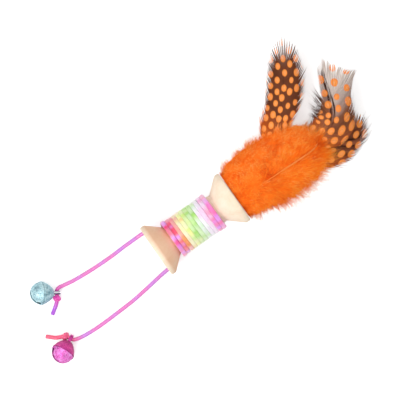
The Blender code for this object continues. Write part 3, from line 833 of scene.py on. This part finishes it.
def plain_material(name, colour, roughness, metallic, grain_scale, grain_share):
    """A hidden or small piece: one colour broken up by a little grain."""
    made, tree, shader = shader_material(name, Roughness=roughness, Metallic=metallic)
    specks = grain(tree, scaled_place(tree, (grain_scale,) * 3), Detail=4.0)
    darker = tuple(value * grain_share for value in colour)
    colour_with(tree, shader, colour_ramp(tree, specks, ((0.3, darker), (0.7, colour))))
    return made


# Solids that stay


def smooth_solid_group():
    """Node group that welds a solid's faces and shades its round stretches smooth."""
    group = bpy.data.node_groups.new("smooth_solid", "GeometryNodeTree")
    for in_out in ("INPUT", "OUTPUT"):
        group.interface.new_socket("Geometry", in_out=in_out, socket_type="NodeSocketGeometry")
    solid = node(group, "NodeGroupInput").outputs[0]
    solid = node(group, "GeometryNodeMergeByDistance", Geometry=solid, Distance=0.002 * MM).outputs[0]
    solid = node(group, "GeometryNodeRemoveAttribute", Geometry=solid, Name="custom_normal").outputs[0]
    solid = node(group, "GeometryNodeSetShadeSmooth", Geometry=solid, domain="FACE").outputs[0]
    angle = node(group, "GeometryNodeInputMeshEdgeAngle").outputs["Unsigned Angle"]
    gentle = maths(group, "FunctionNodeCompare", "LESS_THAN", angle, radians(33)).outputs["Result"]
    smooth = node(
        group, "GeometryNodeSetShadeSmooth", Geometry=solid, domain="EDGE", Shade_Smooth=gentle
    )
    node(group, "NodeGroupOutput", Geometry=smooth.outputs[0])
    return group


def way_to_eye(plan):
    """A bell's axis from its middle to its eye, which tips down to the table."""
    return -Vector(plan["bell_heading"]).normalized() * cos(BELL_TIP) - Vector((0, 0, sin(BELL_TIP)))


def eye_place(plan):
    """The middle of the hole in a bell's eye."""
    return place(plan["bell_mm"]) + way_to_eye(plan) * EYE_DISTANCE


def hole_way(plan):
    """The way the string runs through a bell's eye."""
    return Vector(plan["hole_axis"]).normalized()


def seam_rings(lacquers):
    """The lacquer that fills each bell's rolled seam between its two halves."""
    for name, lacquer in lacquers.items():
        plan = STRINGS[name]
        turned = way_to_eye(plan).to_track_quat("Z", "X").to_matrix()
        middle = place(plan["bell_mm"])
        points = []
        for i in range(SEAM_STEPS + 1):
            turn = 2 * pi * i / SEAM_STEPS
            points.append(middle + turned @ Vector((cos(turn), sin(turn), 0)) * SEAM_RING_R)
        dress(tube(name + "_seam", points, SEAM_FILL_R, 8), lacquer, name + "_bell")


def dress_solids():
    """Gives the solids that stay their materials and a smooth shading."""
    group = smooth_solid_group()
    steel = plain_material("pellet_steel", srgb(170, 172, 176), 0.35, 1.0, 900, 0.8)
    glue = plain_material("cloudy_glue", srgb(226, 219, 196), 0.4, 0.0, 300, 0.9)
    lacquers = {name: glitter_material(name, *values) for name, values in LACQUERS.items()}
    finishes = {
        "spool": wood_material(),
        "glue_plug": glue,
        "blue_pellet": steel,
        "pink_pellet": steel,
        "blue_cap": lacquers["blue_glitter"],
        "blue_bowl": lacquers["blue_glitter"],
        "blue_eye": strap_material("blue_strap", STRINGS["blue"]),
        "pink_cap": lacquers["magenta_lacquer"],
        "pink_bowl": lacquers["pink_glitter"],
        "pink_eye": plain_material("pink_strap", srgb(214, 70, 160), 0.3, 0.8, 700, 0.7),
    }
    seam_rings({name: lacquers[name + "_seam"] for name in STRINGS})
    for name, material in finishes.items():
        solid = frame["nodes"][name]
        solid.data.materials.clear()
        solid.data.materials.append(material)
        smooth = solid.modifiers.new("smooth", "NODES")
        smooth.node_group = group


# Wound cord and strings


def helix_point(deg):
    """A place on the wound cord's middle line, at an angle about the axis counted on from its first turn."""
    along = HELIX_START_X + PITCH * (deg - HELIX_START_DEG) / 360
    rise = END_RISE * max(0.0, 1 - (CONE_FOOT_X + WOUND_R - abs(along)) / END_RISE_LENGTH)
    out = HELIX_R + rise
    return Vector((
        SPOOL_MIDDLE.x + along,
        SPOOL_MIDDLE.y + out * cos(radians(deg)),
        AXIS_Z + out * sin(radians(deg)),
    ))


def wound_dyes(along, turn):
    """Dyes of the wound cord at places in mm along the barrel and turns round it, with a painted sheen of
    white on some patches.
    """
    round_y, round_z = DYE_PATCHES_ROUND * np.cos(turn), DYE_PATCHES_ROUND * np.sin(turn)
    patch = soft_noise(np.stack([along / DYE_PATCH_MM, round_y, round_z], axis=1))
    tilt = DYE_TILT_MM * np.sin(turn - DYE_TILT_TURN)
    colours = ramp(along + tilt + DYE_DRIFT_MM * patch, WINDING_DYE)
    pink_end = np.clip(np.abs(along - PINK_MIDDLE_MM) - PINK_BEGINS_MM, 0, 1)
    lilac = pink_end * np.clip(LILAC_GAIN * patch - LILAC_FROM, 0, LILAC_MOST)
    colours = blended(colours, dye(LILAC_DYE), lilac[:, None])
    # Painted sheen: patches of the dye turn towards white
    painted_sheen = np.clip(PAINTED_SHEEN_GAIN * np.roll(patch, PAINTED_SHEEN_SHIFT), 0, PAINTED_SHEEN_MOST) * (1 - PAINTED_SHEEN_LESS * pink_end)
    return blended(colours, 1, painted_sheen[:, None])


def wound(name, from_deg, to_deg, satin, skew=0.0, lift=0.0):
    """One stretch of wound cord, pressed against its neighbours. skew tips its turns, lift raises them."""
    steps = round((to_deg - from_deg) / WOUND_STEP_DEG)
    degrees = np.linspace(from_deg, to_deg, steps + 1)
    turn = np.radians(degrees)
    points = np.array([tuple(helix_point(deg)) for deg in degrees])
    points[:, 0] += skew * np.sin(turn + SKEW_TURN)
    out = np.stack([np.zeros_like(turn), np.cos(turn), np.sin(turn)], axis=1)
    points += lift * out
    colours = wound_dyes((points[:, 0] - SPOOL_MIDDLE.x) / MM, turn)
    made = tube(name, points, WOUND_R, WOUND_SIDES, colours, out)
    dress(made, satin, "spool")
    return made


def windings(satin):
    wrap_end = HELIX_START_DEG + STRING_WRAP_DEG
    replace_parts(wound("string_wrap_satin", HELIX_START_DEG, wrap_end, satin, WRAP_SKEW), "string_wrap")
    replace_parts(wound("winding_satin", wrap_end + LEAD_CLEAR_DEG, WINDING_END_DEG, satin), "winding")
    tie_end = WINDING_END_DEG + TIE_DEG
    tie = wound("winding_tie_satin", WINDING_END_DEG, tie_end, satin, TIE_SKEW, TIE_LIFT)
    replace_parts(tie, "winding_tie")


def knot(name, middle, way, colour):
    """A pulled-tight stopper knot: one cord that runs round and through itself as a trefoil."""
    turned = way.to_track_quat("Z", "X").to_matrix()
    points = []
    for i in range(KNOT_STEPS + 1):
        turn = 2 * pi * i / KNOT_STEPS
        out = KNOT_RING_R + KNOT_WAVE_R * cos(3 * turn)
        local = Vector((out * cos(2 * turn), out * sin(2 * turn), KNOT_DEPTH * sin(3 * turn)))
        points.append(middle + turned @ local)
    tones = KNOT_TONE + KNOT_TONE_PATCH * soft_noise([(i / 9, 0.4, 7.7) for i in range(len(points))])
    return tube(name, points, KNOT_CORD_R, 10, np.minimum(dye(colour) * tones[:, None], 1))


def string_dyes(plan, along, to_knot, patch_row):
    """Dyes along a string, by the ways along it and to its knot in mm: two pinks in patches, then the knot's
    dye and the tail's."""
    patch = soft_noise([(value / STRING_PATCH_MM, 1.3, patch_row) for value in along])
    cool = np.clip(COOL_SHARE + COOL_GAIN * patch, 0, 1)[:, None]
    knot_dye = dye(plan["knot_dye"])
    near = np.clip(KNOT_DYE_REACH - to_knot / KNOT_DYE_MM, 0, 1)[:, None]
    free = blended(blended(dye(STRING_DYE), dye(STRING_DYE_COOL), cool), knot_dye, near)
    tail = blended(knot_dye, dye(plan["tail_dye"]), np.minimum(to_knot / KNOT_DYE_MM, 1)[:, None])
    past_knot = np.arange(len(along)) > np.argmin(to_knot)
    return np.where(past_knot[:, None], tail, free)


def string(name, plan, satin):
    """One bell string from the wrap, under the rim, through the bell's eye and the knot to its cut end."""
    end_deg, split_deg = plan["wrap_turn"]
    start = helix_point(end_deg + split_deg)
    onward = (start - helix_point(end_deg)).normalized()
    pivot = place(plan["pivot_mm"])
    eye, hole = eye_place(plan), hole_way(plan)
    knot_at = eye + hole * KNOT_OFFSET
    lead = [start, start + onward * LEAD_STRAIGHT, *map(place, plan["lead_mm"])]
    free = [pivot, *map(place, plan["route_mm"])]
    tail = [place(point) for point in plan["tail_mm"]]
    route = smooth_route([*lead, *free, eye, knot_at, *tail], CORD_STEP)

    gaps = [(b - a).length for a, b in zip(route, route[1:])]
    along = np.concatenate([[0], np.cumsum(gaps)])
    to_knot = np.array([(point - knot_at).length / MM for point in route])
    colours = string_dyes(plan, along / MM, to_knot, len(name))
    made = tube(name + "_string_satin", route, CORD_R, SATIN_SIDES, colours)
    dress(made, satin)
    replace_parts(made, name + "_lead", name + "_cord", name + "_tail")

    tied = knot(name + "_knot_satin", knot_at, hole, plan["knot_dye"])
    dress(tied, satin, name + "_string")
    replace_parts(tied, name + "_knot")

    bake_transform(made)


# Down


def down_surface(along_mm, degrees, share):
    """Points a share of the way out to the down's oval skin, in mm, and the skin's outward directions."""
    def station(at, column):
        return np.interp(at, DOWN_STATIONS_MM[:, 0], DOWN_STATIONS_MM[:, column])

    across, height, half_width, half_height = (station(along_mm, column) for column in range(1, 5))
    turn = np.radians(degrees)
    y = across + share * half_width * np.cos(turn)
    z = height + share * half_height * np.sin(turn)
    widening = station(along_mm + SLOPE_STEP_MM, 3) - station(along_mm - SLOPE_STEP_MM, 3)
    slope = widening / (2 * SLOPE_STEP_MM)
    out = np.stack([-slope, np.cos(turn), np.sin(turn) * half_width / half_height], axis=-1)
    return np.stack([along_mm, y, np.maximum(z, DOWN_FLOOR_MM)], axis=-1), unit(out)


def down_tufts(points_mm, seed):
    """A soft clump pattern of the down at places in mm: coarse tufts and finer locks, about -1 to 1."""
    coarse = soft_noise(points_mm / (7, 5, 5) + (0, 0, seed))
    return coarse + 0.6 * soft_noise(points_mm / (2.6, 1.7, 1.7))


def down_core(name, plan):
    """The dense middle of one feather's down: a closed lumpy slice under the loose fibres."""
    arc = np.linspace(*plan["slice_deg"], CORE_ARC_POINTS)
    rows, ways = [], []
    for along in np.linspace(*CORE_ENDS_MM, CORE_ROWS):
        at = np.full(len(arc), along)
        ring, out = down_surface(at, arc, CORE_SHARE)
        middle, _ = down_surface(at[:1], arc[:1], 0.0)
        rows.append(np.concatenate([ring, middle]))
        ways.append(np.concatenate([out, [[1.0, 0, 0]]]))
    count = len(rows[0])
    points, out = np.concatenate(rows), np.concatenate(ways)
    lumps = down_tufts(points, plan["seed"])
    inner = np.arange(len(points)) % count == count - 1
    points += np.where(inner, 0, CORE_LUMP_MM * lumps)[:, None] * out
    points[:, 2] = np.maximum(points[:, 2], TABLE_CLEAR / MM)
    faces = [tuple(range(count))[::-1], tuple(range(len(points) - count, len(points)))]
    faces += faces_between(len(rows), count)
    made = new_mesh(name, [place(point) for point in points], faces)
    paint(made, ramp(lumps, CORE_DYE))
    made.data.normals_split_custom_set_from_vertices(unit(out + np.array(SOFT_LIFT)))
    return made


def down_locks(plan, layer, rng):
    """One feather's locks of down: where each is rooted, how it points and curls, its length and its tone."""
    count = plan["locks"]
    low, high = plan["slice_deg"]
    first, last = FLUFF_ENDS_MM
    along = strewn(rng, count, first, last - first)
    degrees = strewn(rng, count, low, high - low)
    root, out = down_surface(along, degrees, ROOT_SHARE)
    share = (along - first) / (last - first)
    turn = np.radians(degrees)
    leftward = np.cos(turn)

    forward = np.zeros((count, 3))
    forward[:, 0] = SWEEP + SWEEP_GAIN * np.sqrt(share)
    parted = np.tanh((degrees - plan["parting_deg"]) / PARTING_DEG)
    sideways = np.stack([0 * turn, -np.sin(turn), leftward], axis=-1) * parted[:, None]
    tufts = np.array([noise.noise_vector(at) for at in root / TUFT_MM + (0, 0, plan["seed"])])
    stand = np.where(rng.random(count) > UPRIGHT_FROM, 1.0, layer["upright"])[:, None]
    way = stand * out + WAY_FORWARD * forward + WAY_SIDEWAYS * sideways + WAY_TUFT * tufts
    way = unit(way + WAY_CHANCE * rng.normal(size=(count, 3)))
    curl = CURL_CHANCE * rng.normal(size=(count, 3)) + CURL_TUFT * tufts
    curl = curl + CURL_FORWARD * forward - CURL_INWARD * out

    length = strewn(rng, count, *layer["length_mm"]) * (1 - SHORTER_TIP * share)
    length *= 1 + LONGER_TUFT * tufts[:, 1]
    length *= np.interp(along - first, (0, FLANGE_NEAR_MM), (layer["at_flange"], 1))
    length *= 1 - SHORTER_LEFT * np.clip(leftward, 0, 1)
    length *= 1 + layer["flying"] * np.clip(-leftward, 0, 1) * np.interp(along, FLYING_FROM_MM, (0, 1))

    shade = 1 - np.interp(leftward, *SHADE_LEFT) * np.interp(along - first, *FLANGE_SHADE)
    patch = soft_noise(root / (14, 9, 9) + (0, 0, 3.1))
    tone = TONE + TONE_LEFT * np.clip(leftward, 0, 1) + TONE_TUFT * tufts[:, 0] + TONE_PATCH * patch
    tone = shade * (tone + TONE_CHANCE * rng.normal(size=count))
    return {
        "along": along, "degrees": degrees, "root": root, "leftward": leftward,
        "way": way, "curl": curl, "length": length, "tone": tone,
    }


def down_lines(locks, of_lock, layer, rng):
    """Points along every fibre of the down, in mm, and the skin's outward direction at its root. of_lock is
    each fibre's lock."""
    first, last = FLUFF_ENDS_MM
    count = len(of_lock)
    off = rng.normal(size=(count, 2))
    along = np.clip(locks["along"][of_lock] + LOCK_SPREAD_MM * off[:, 0], first, last)
    degrees = locks["degrees"][of_lock] + LOCK_SPREAD_DEG * off[:, 1]
    root, out = down_surface(along, degrees, ROOT_SHARE)
    t = np.linspace(0, 1, STRAND_POINTS)[None, :, None]
    reach = (locks["length"][of_lock] * strewn(rng, count, *FIBRE_REACH))[:, None, None]
    bend = locks["curl"][of_lock] + layer["stray"] * rng.normal(size=(count, 3))
    gather = (locks["root"][of_lock] - root)[:, None] * layer["gather"] * t**1.5
    lines = root[:, None] + gather
    lines = lines + reach * (locks["way"][of_lock][:, None] * t + 0.5 * bend[:, None] * t**2)

    # Past the rim, fibres slant away from the flange; none stands too high or reaches into the table
    rim = AXIS_Z / MM
    past_rim = np.hypot(lines[..., 1], lines[..., 2] - rim) - rim
    slant = strewn(rng, count, *RIM_SLANT)[:, None]
    lines[..., 0] = np.maximum(lines[..., 0], first + slant * np.maximum(past_rim, 0))
    lines[..., 2] -= TOP_SQUEEZE * np.maximum(lines[..., 2] - DOWN_TOP_MM, 0)
    lines[..., 2] = np.maximum(lines[..., 2], TABLE_CLEAR / MM)
    return lines, out


def down_dyes(locks, of_lock, layer, rng):
    """Dyes along every fibre: paler tips on the left, some pale locks, and dark hairs at the sides."""
    t = np.linspace(0, 1, STRAND_POINTS)[None, :, None]
    leftward = locks["leftward"][of_lock][:, None]
    odd = rng.random(len(of_lock))[of_lock * LOCK_FIBRES][:, None]
    pale = dye(DOWN_PALE_DYE)
    tip = blended(dye(layer["tip_dye"]), pale, PALE_LEFT * np.clip(leftward, 0, 1))
    tip = np.where(odd > PALE_FROM, pale, tip)
    tip = np.where(odd < layer["dark"] * leftward**HAIR_SIDES_POWER, dye(DOWN_HAIR_DYE), tip)
    lower = blended(dye(DOWN_ROOT_DYE), dye(DOWN_MIDDLE_DYE), 2 * t)
    upper = blended(dye(DOWN_MIDDLE_DYE), tip[:, None], 2 * t - 1)
    # The tint carries each lock's tone, the painted shade by the flange included
    shade_tint = np.clip(locks["tone"], *TONE_LIMITS)[:, None] ** np.array(SHADE_POWERS)
    return np.clip(np.where(t < 0.5, lower, upper) * shade_tint[of_lock][:, None], 0, 1)


def down_layer(name, plan, layer, rng):
    """One feather's loose down: locks that part along its quill, sweep out and forwards, and curl."""
    locks = down_locks(plan, layer, rng)
    of_lock = np.repeat(np.arange(plan["locks"]), LOCK_FIBRES)
    lines, out = down_lines(locks, of_lock, layer, rng)
    thick = layer["radius"] * strewn(rng, len(of_lock), *FIBRE_THICK)
    radii = thick[:, None] * np.linspace(1, FIBRE_TIP, STRAND_POINTS)[None]
    colours = down_dyes(locks, of_lock, layer, rng)
    metres = lines * MM + np.array([SPOOL_MIDDLE.x, SPOOL_MIDDLE.y, 0])
    flat_way = np.tile(out[:, None], (1, STRAND_POINTS, 1))
    made = strands(name, metres, radii, flat_way, STRAND_FLATNESS, colours)
    per_strand = 3 * (STRAND_POINTS - 1) + 1
    lit = unit(out + np.array(SOFT_LIFT))
    made.data.normals_split_custom_set_from_vertices(np.repeat(lit, per_strand, axis=0))
    # Real down lets the light through, so the thin fibres take no light from each other
    made.visible_shadow = False
    made.visible_diffuse = False
    return made


def down(name, plan, fibre):
    """One feather's down: its dense middle, the fluff on it and the wisps that stand out of the fluff."""
    rng = np.random.default_rng(plan["seed"])
    layers = [down_layer(f"{name}_{kind}", plan, layer, rng) for kind, layer in DOWN_LAYERS.items()]
    core = down_core(name + "_down_core", plan)
    for piece in (core, *layers):
        dress(piece, fibre, "spool")
    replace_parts(core, name + "_down")


# Spotted vanes


class MiddleLine:
    """A feather's shaft as a smooth line that can be asked for its frame at any distance from the pivot."""

    def __init__(self, plan):
        points = smooth_route([place(point) for point in plan["line_mm"]], LINE_STEP)
        self.line = np.array([tuple(p) for p in points])
        self.at = distances(self.line)
        self.forward = unit(np.gradient(self.line, axis=0))
        self.across = unit(np.cross((0, 0, 1), self.forward))
        self.up = np.cross(self.forward, self.across)

    def read(self, values, distance):
        return np.stack([np.interp(distance, self.at, values[:, i]) for i in range(3)], axis=-1)

    def frame(self, distance):
        """Point, across and up at each distance. Off its ends the line runs straight on."""
        past = distance - np.clip(distance, 0, self.at[-1])
        point = self.read(self.line, distance) + self.read(self.forward, distance) * past[..., None]
        return point, self.read(self.across, distance), self.read(self.up, distance)


def shaft(name, plan, line):
    """The quill's visible stretch over the down and the shaft up to the vane's crown."""
    rear = [place(point) for point in plan["rear_mm"]]
    front = [
        Vector(point) - Vector((0, 0, SHAFT_DEPTH * min(1, at / SHAFT_DIVE)))
        for point, at in zip(line.line, line.at) if at < plan["shaft_mm"] * MM
    ][::6]
    route = smooth_route([*rear, *front], SHAFT_STEP)
    share = np.linspace(0, 1, len(route))
    radii = np.interp(share, *SHAFT_TAPER) * SHAFT_R
    vane = share[int(np.argmin([(point - front[0]).length for point in route]))]
    dyes = (
        (0.0, (255, 132, 50)), (vane, (255, 152, 84)), (vane + 0.12, (120, 70, 46)), (1.0, (84, 50, 38)),
    )
    return tube(name + "_shaft", route, radii, 8, ramp(share, dyes))


def spot_middles(plan):
    """Middles of a vane's spots as (across, along) in mm, in columns that stand half a gap off each other."""
    rng = np.random.default_rng(plan["seed"] + 200)
    column, row, growth = plan["spot_gap_mm"]
    first, last = SPOT_ROWS_MM
    middles = []
    for k in SPOT_COLUMNS:
        along = first + (0.5 * row if k % 2 else 0.0)
        while along < last:
            far = max(along - plan["spot_even_mm"], 0)
            across = k * column * (1 + plan["spot_spread"] * far) + plan["spot_shift_mm"]
            middles.append((across, along))
            along += row + growth * far
    middles = np.array(middles)
    return middles + rng.normal(size=middles.shape) * SPOT_STRAY_MM


def spot_distance(plan, across_mm, along_mm):
    """Distance from the nearest spot's middle, where 1 is that spot's edge."""
    rng = np.random.default_rng(plan["seed"] + 300)
    nearest = np.full(across_mm.shape, NO_SPOT)
    half_width, half_length = plan["spot_mm"]
    for across, along in spot_middles(plan):
        growth = 1 + plan["spot_growth"] * max(along - plan["spot_even_mm"], 0)
        size = strewn(rng, None, *SPOT_SIZES) * growth
        reach = np.hypot((across_mm - across) / half_width, (along_mm - along) / half_length) / size
        nearest = np.minimum(nearest, reach)
    return nearest


def web(plan, half, line, rng):
    """One web of a vane: flat barbs that slant off the shaft side by side and gather into spikes."""
    count = half["barbs"]
    first_root, last_root = np.array(half["rooted_mm"]) * MM
    edge_at, edge_width = np.array(half["outline"]).T * MM

    def root(share):
        return first_root + (last_root - first_root) * np.minimum(1, share / CROWN_SHARE)

    def tip(share, stretch):
        """Where barbs end: along the shaft and across it."""
        along = root(share) + np.interp(share, RUN_SHARES, half["run_mm"]) * MM * stretch
        closing = np.clip((share - CROWN_SHARE) / (1 - CROWN_SHARE), 0, 1)
        return along, np.interp(along, edge_at, edge_width) * (1 - closing)

    # Barbs lie side by side, and their loose ends gather into spikes of uneven length
    t = np.linspace(0, 1, BARB_POINTS)
    share = (np.arange(count) + BARB_STREW * rng.random(count)) / count
    spike = np.floor(share / SPIKE_SHARE + SPIKE_STREW * rng.random(count))
    gathered = np.clip((spike + 0.5) * SPIKE_SHARE, 0, 1)
    uneven = soft_noise([(value * SPIKE_PATCH, plan["seed"], half["side"]) for value in spike])
    loose = np.interp(share, RUN_SHARES, half["loose"])[:, None]
    freed = np.clip((t - 1 + loose) / loose, 0, 1)
    pull = half["spiky"] * freed**1.5
    longer = half["spiky"] * (SPIKE_LENGTH[0] + SPIKE_LENGTH[1] * uneven)
    wider = half["spiky"] * (SPIKE_WIDTH[0] + SPIKE_WIDTH[1] * uneven)
    even_tip = np.stack(tip(share, 1 + half["uneven"] * (rng.random(count) - 0.5)))[..., None]
    spike_tip = np.stack(tip(gathered, 1 + longer))[..., None]
    spike_tip[1] *= 1 + wider[:, None]
    tip_at, tip_across = blended(even_tip, spike_tip, pull)
    start = root(share)
    bow_ahead = (1 - BARB_BOW_AHEAD) * t + BARB_BOW_AHEAD * t**2
    bow_aside = (1 + BARB_BOW_ASIDE) * t - BARB_BOW_ASIDE * t**2
    ahead = start[:, None] + (tip_at - start[:, None]) * bow_ahead
    aside = tip_across * bow_aside
    point, across, up = line.frame(ahead)
    sag = half["camber"] * aside**2 / edge_width.max()
    lift = BARB_LIFT * rng.normal(size=(count, 1)) * t**1.5
    points = point + across * (half["side"] * aside)[..., None] + up * (lift - sag)[..., None]
    points[..., 2] = np.maximum(points[..., 2], TABLE_CLEAR)

    # Each barb is as wide as its share of the web, at its root and at its tip
    even = np.linspace(0, 1, count)
    even_at, even_across = tip(even, 1.0)
    even_run = even_at - root(even)
    length = np.hypot(even_run, even_across)
    root_gap = np.gradient(root(even)) * even_across / length
    tip_gap = np.abs(np.gradient(even_at) * even_across - np.gradient(even_across) * even_run) / length
    upper = np.interp(share, half["fades"], (0.0, 1.0))
    cover = blended(*half["cover"], upper)
    gap = np.maximum(blended(root_gap[:, None], tip_gap[:, None], t), FINEST_GAP)
    radii = 0.5 * cover[:, None] * gap * (1 - (1 - half["tip_cover"]) * freed)

    # Dark barbs, paler towards the top and the crown's tips, rusty at the base, with painted shade in patches
    # and in creases where a web is folded
    crowned = np.interp(share, *CROWN_PALE)[:, None]
    greyness = blended(*half["greyness"], upper)[:, None]
    paleness = np.clip(greyness * (0.75 + 0.25 * t) + crowned * t**2, 0, 1)[..., None]
    middle = (start + even_tip[0, :, 0]) / 2
    low = np.clip(1 - (middle - RUST_FROM) / RUST_LENGTH, 0, 1)[:, None, None]
    # Painted shade and light: patches along the web lighter and darker as where it is folded, and darker
    # creases
    fold_shade_noise = soft_noise([(value * FOLD_SHADE_PATCH, half["side"], plan["seed"]) for value in share])[:, None, None]
    tone = strewn(rng, (count, 1, 1), *BARB_TONE) + plan["fold_shade"] * fold_shade_noise
    for crease in half["creases"]:
        tone *= 1 - CREASE_SHADE_DEPTH * np.exp(-((share - crease) / CREASE_SHADE_WIDTH) ** 2)[:, None, None]
    colours = blended(dye(half.get("dark", plan["dark"])), dye(GREY_DYE), paleness) * tone
    colours = blended(colours, dye(RUST_DYE), RUST_SHARE * low)
    spots = spot_distance(plan, half["side"] * aside / MM, ahead / MM)
    return points, radii, up, colours, np.stack([spots, 0 * spots], axis=-1)


def hairs(plan, line, rng):
    """Long loose hairs that stand off both sides of a vane's base."""
    count = plan["hairs"]
    t = np.linspace(0, 1, BARB_POINTS)
    side = np.where(np.arange(count) % 2 == 0, 1, -1)[:, None]
    start = strewn(rng, (count, 1), *HAIR_START_MM) * MM
    angle = np.radians(strewn(rng, (count, 1), *HAIR_ANGLE_DEG))
    length = strewn(rng, (count, 1), *HAIR_LENGTH_MM) * MM
    ahead = start + length * (np.cos(angle) * t + HAIR_BOW_AHEAD * t**2)
    aside = length * np.sin(angle) * (t - HAIR_BOW_ASIDE * t**2)
    point, across, up = line.frame(ahead)
    beside = plan["webs"][0]
    sag = beside["camber"] * aside**2 / (max(width for _, width in beside["outline"]) * MM)
    least, spread = HAIR_DROP_MM
    drop = (least + spread * np.abs(rng.normal(size=(count, 1)))) * MM * np.minimum(1, 4 * t)
    points = point + across * (side * aside)[..., None] - up * (sag + drop)[..., None]
    points[..., 2] = np.maximum(points[..., 2], TABLE_CLEAR)
    radii = np.tile(HAIR_R * np.interp(t, (0, 0.7, 1), (1, 0.8, 0.3)), (count, 1))
    colours = ramp(np.tile(t, (count, 1)), HAIR_DYE)
    return points, radii, up, colours, np.full((count, BARB_POINTS, 2), NO_SPOT)


def barbs(name, plan, line):
    """A vane's webs and its loose hairs as one mesh."""
    rng = np.random.default_rng(plan["seed"] + 100)
    groups = [web(plan, half, line, rng) for half in plan["webs"]]
    if "hairs" in plan:
        groups.append(hairs(plan, line, rng))
    points, radii, up, colours, maps = (np.concatenate(values) for values in zip(*groups))
    return strands(name + "_barbs", points, radii, up, BARB_FLATNESS, colours, maps)


def feather(name, plan, fibre, spotted):
    """One feather's vane and shaft, made in place."""
    line = MiddleLine(plan)
    vane = barbs(name, plan, line)
    for piece, material in ((vane, spotted), (shaft(name, plan, line), fibre)):
        dress(piece, material)
        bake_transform(piece)
    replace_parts(vane, name + "_vane")


# Stage


def floor():
    """A pale floor that shows white to the camera and still takes the toy's soft shadow."""
    made = new_mesh("floor", [(-3, -3, 0), (3, -3, 0), (3, 3, 0), (-3, 3, 0)], [(0, 1, 2, 3)], smooth=False)
    surface = bpy.data.materials.new("white_floor")
    surface.use_nodes = True
    tree = surface.node_tree
    tree.nodes.clear()
    path = node(tree, "ShaderNodeLightPath").outputs
    seen = maths(tree, "ShaderNodeMath", "MAXIMUM", path["Is Camera Ray"], path["Is Glossy Ray"]).outputs[0]
    seen = maths(tree, "ShaderNodeMath", "MAXIMUM", seen, path["Is Transmission Ray"]).outputs[0]
    level = maths(tree, "ShaderNodeMath", "MULTIPLY", seen, FLOOR_LIFT).outputs[0]
    added = node(tree, "ShaderNodeAddShader")
    tree.links.new(node(tree, "ShaderNodeBsdfDiffuse", Color=(0.8, 0.8, 0.8)).outputs[0], added.inputs[0])
    tree.links.new(node(tree, "ShaderNodeEmission", Strength=level).outputs[0], added.inputs[1])
    node(tree, "ShaderNodeOutputMaterial", Surface=added.outputs[0])
    made.data.materials.append(surface)


def world():
    """Soft light from above that fades towards the horizon."""
    sky = bpy.data.worlds.new("studio")
    bpy.context.scene.world = sky
    sky.use_nodes = True
    tree = sky.node_tree
    way = node(tree, "ShaderNodeTexCoord").outputs["Generated"]
    height = node(tree, "ShaderNodeSeparateXYZ", Vector=way).outputs["Z"]
    light = share_between(tree, height, 0.0, 0.8, To_Min=HORIZON_LIGHT, To_Max=ZENITH_LIGHT)
    background = tree.nodes["Background"]
    tree.links.new(light, background.inputs["Strength"])
    background.inputs["Color"].default_value = (1, 1, 1, 1)


def lamp(name, where, watts, size):
    """A soft square lamp that faces the middle of the toy."""
    light = bpy.data.lights.new(name, "AREA")
    light.energy = watts
    light.size = size
    made = bpy.data.objects.new(name, light)
    bpy.context.scene.collection.objects.link(made)
    made.location = where
    made.rotation_euler = (-Vector(where)).to_track_quat("-Z", "Y").to_euler()


def camera():
    lens = bpy.data.cameras.new("camera")
    lens.sensor_width = SENSOR_MM
    lens.lens = SENSOR_MM * (CAMERA_HEIGHT - AXIS_Z) / VIEW_WIDTH
    made = bpy.data.objects.new("camera", lens)
    bpy.context.scene.collection.objects.link(made)
    made.matrix_world = Matrix((IMAGE_RIGHT, IMAGE_UP, Vector((0, 0, 1)))).transposed().to_4x4()
    made.location = place((*VIEW_MIDDLE_MM, CAMERA_HEIGHT / MM))
    bpy.context.scene.camera = made


def main():
    camera()
    world()
    for name, settings in LAMPS.items():
        lamp(name, **settings)
    floor()
    dress_solids()
    satin = satin_material("satin_cord")
    windings(satin)
    for name, plan in STRINGS.items():
        string(name, plan, satin)
    fibre = fibre_material("dyed_down")
    spotted = spotted_material("spotted_barbs")
    for name, plan in FEATHERS.items():
        down(name, plan, fibre)
        feather(name, plan, fibre, spotted)
    bpy.context.scene.view_settings.view_transform = "Standard"


main()
